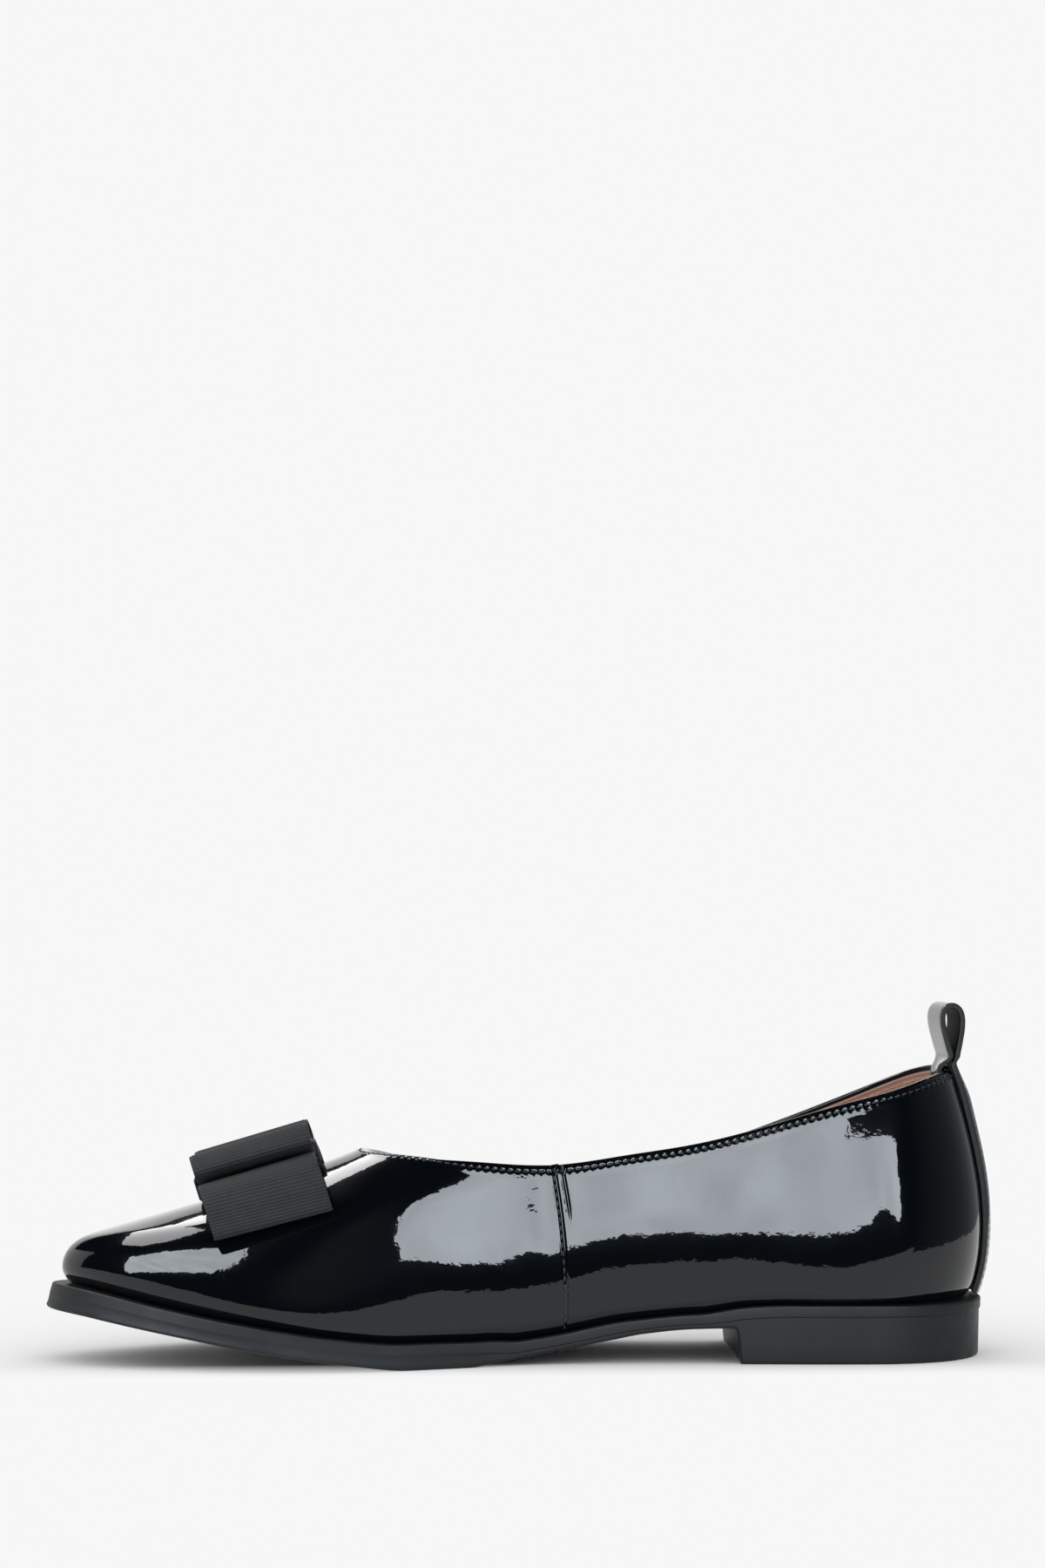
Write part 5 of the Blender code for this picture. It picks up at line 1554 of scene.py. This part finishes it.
def make_camera(scene):
    """Camera level with the shoe, turned a little towards the heel."""
    data = bpy.data.cameras.new("Camera")
    data.lens, data.sensor_width, data.sensor_fit = LENS, SENSOR, "AUTO"
    data.clip_end = 100.0
    camera = bpy.data.objects.new("Camera", data)
    bpy.context.collection.objects.link(camera)
    along = CAMERA_ALONG - CAMERA_DISTANCE * math.sin(CAMERA_TURN)
    camera.location = (along, -CAMERA_DISTANCE * math.cos(CAMERA_TURN), CAMERA_HEIGHT)
    camera.rotation_euler = (math.pi / 2, 0.0, -CAMERA_TURN)
    scene.camera = camera


def wall(first, last, low):
    """Corners of an upright card between two points of the plan, from a height up to the room's."""
    return ((*first, low), (*last, low), (*last, ROOM_HEIGHT), (*first, ROOM_HEIGHT))


def level(reach, height):
    """Corners of a level square card, reach wide to each side."""
    plan = ((-reach, -reach), (reach, -reach), (reach, reach), (-reach, reach))
    return [(x, y, height) for x, y in plan]


def make_stage(context):
    """Floor, backdrop, cards, softboxes and camera."""
    scene = context.scene
    colour = tuple(scene.flat_colours.floor)
    scene.view_settings.view_transform = "Standard"
    world = bpy.data.worlds.new("Backdrop")
    world.use_nodes = True
    world.node_tree.nodes["Background"].inputs["Color"].default_value = (*colour, 1.0)
    world.node_tree.nodes["Background"].inputs["Strength"].default_value = 1.0
    scene.world = world
    stage_plane("floor", level(FLOOR_REACH, 0), floor_material(colour), False)
    black = glow("Black card", (0.0, 0.0, 0.0), 0.0)
    grey = glow("Grey card", (1.0, 1.0, 1.0), 0.28)
    left, right, front, back = -ROOM, ROOM, -ROOM, ROOM
    for name, corners, card in (
        ("card_front", wall((left, front), (right, front), 0.0), black),
        ("card_left", wall((left, LEFT_END), (left, front), 0.0), black),
        ("card_right", wall((right, front), (right, RIGHT_END), 0.0), black),
        ("card_right_back", wall((right, RIGHT_END), (right, back), 0.0), grey),
        ("card_left_high", wall((left, LEFT_END), (left, back), HIGH_START), black),
        ("card_back_high", wall((left, back), (right, back), HIGH_START), black),
        ("card_top", level(ROOM, ROOM_HEIGHT), black),
    ):
        stage_plane(name, corners, card, True)
    softbox = glow("Front softbox", (0.85, 0.925, 1.0), 10.5, 0.14)
    for name, outline in SOFTBOX_FRONT.items():
        stage_plane(name, [(x, SOFTBOX_PLANE, z) for x, z in outline], softbox, True)
    stage_plane("card_heel", HEEL_CARD, glow("Dim card", (0.9, 0.93, 1.0), 0.32, fade=HEEL_CARD_FADE), True)
    for name, outline in FLAGS.items():
        stage_plane(name, [(x, FLAG_PLANE, z) for x, z in outline], black, True)
    toe, toe_away, high, high_away = (-0.185, -0.03, 0.03), 1.1, (-0.18, -0.02, 0.04), 1.2
    softbox = glow("Side softbox", (0.88, 0.945, 1.0), 9.4, 0.10)
    stage_plane("softbox_side", aimed_outline(SOFTBOX_SIDE, toe, toe_away), softbox, True)
    softbox = glow("High softbox", (0.99, 0.985, 1.0), 6.2)
    stage_plane("softbox_high", aimed_outline(SOFTBOX_HIGH, high, high_away), softbox, True)
    make_camera(scene)



# Add-on


class FLAT_OT_make_upper(bpy.types.Operator):
    """Makes the patent leather upper"""

    bl_idname = "flat.make_upper"
    bl_label = "Upper"
    bl_options = {"REGISTER", "UNDO"}

    def execute(self, context):
        make_upper(context)
        return {"FINISHED"}


class FLAT_OT_make_lining(bpy.types.Operator):
    """Makes the lining of the upper"""

    bl_idname = "flat.make_lining"
    bl_label = "Lining"
    bl_options = {"REGISTER", "UNDO"}

    def execute(self, context):
        make_lining(context)
        return {"FINISHED"}


class FLAT_OT_make_outsole(bpy.types.Operator):
    """Makes the moulded sole"""

    bl_idname = "flat.make_outsole"
    bl_label = "Outsole"
    bl_options = {"REGISTER", "UNDO"}

    def execute(self, context):
        make_outsole(context)
        return {"FINISHED"}


class FLAT_OT_make_insole(bpy.types.Operator):
    """Makes the sock inside the shoe"""

    bl_idname = "flat.make_insole"
    bl_label = "Insole"
    bl_options = {"REGISTER", "UNDO"}

    def execute(self, context):
        make_insole(context)
        return {"FINISHED"}


class FLAT_OT_make_heel_strap(bpy.types.Operator):
    """Makes the heel strap with its pull loop"""

    bl_idname = "flat.make_heel_strap"
    bl_label = "Heel strap"
    bl_options = {"REGISTER", "UNDO"}

    def execute(self, context):
        make_heel_strap(context)
        return {"FINISHED"}


class FLAT_OT_make_bow(bpy.types.Operator):
    """Makes the two tiers of the bow and their band"""

    bl_idname = "flat.make_bow"
    bl_label = "Bow"
    bl_options = {"REGISTER", "UNDO"}

    def execute(self, context):
        make_bow(context)
        return {"FINISHED"}


class FLAT_OT_make_stitching(bpy.types.Operator):
    """Makes the rows of stitches"""

    bl_idname = "flat.make_stitching"
    bl_label = "Stitching"
    bl_options = {"REGISTER", "UNDO"}

    def execute(self, context):
        make_stitching(context)
        return {"FINISHED"}


class FLAT_OT_make_stage(bpy.types.Operator):
    """Makes the floor, lights and camera"""

    bl_idname = "flat.make_stage"
    bl_label = "Stage"
    bl_options = {"REGISTER", "UNDO"}

    def execute(self, context):
        make_stage(context)
        return {"FINISHED"}


OPERATORS = (
    FLAT_OT_make_upper,
    FLAT_OT_make_lining,
    FLAT_OT_make_outsole,
    FLAT_OT_make_insole,
    FLAT_OT_make_heel_strap,
    FLAT_OT_make_bow,
    FLAT_OT_make_stitching,
    FLAT_OT_make_stage,
)


class FLAT_PT_panel(bpy.types.Panel):
    bl_label = "Ballet flat"
    bl_space_type = "VIEW_3D"
    bl_region_type = "UI"
    bl_category = "Ballet flat"

    def draw(self, context):
        for group in (context.scene.flat_sizes, context.scene.flat_colours):
            for name in group.__annotations__:
                self.layout.prop(group, name)
        for operator in OPERATORS:
            self.layout.operator(operator.bl_idname)


CLASSES = (FlatSizes, FlatColours, *OPERATORS, FLAT_PT_panel)


def register():
    for made in CLASSES:
        bpy.utils.register_class(made)
    bpy.types.Scene.flat_sizes = PointerProperty(type=FlatSizes)
    bpy.types.Scene.flat_colours = PointerProperty(type=FlatColours)


def unregister():
    del bpy.types.Scene.flat_colours
    del bpy.types.Scene.flat_sizes
    for made in reversed(CLASSES):
        bpy.utils.unregister_class(made)


def main():
    register()
    for name in ("upper", "lining", "outsole", "insole", "heel_strap", "bow", "stitching", "stage"):
        getattr(bpy.ops.flat, "make_" + name)()


if __name__ == "__main__":
    main()
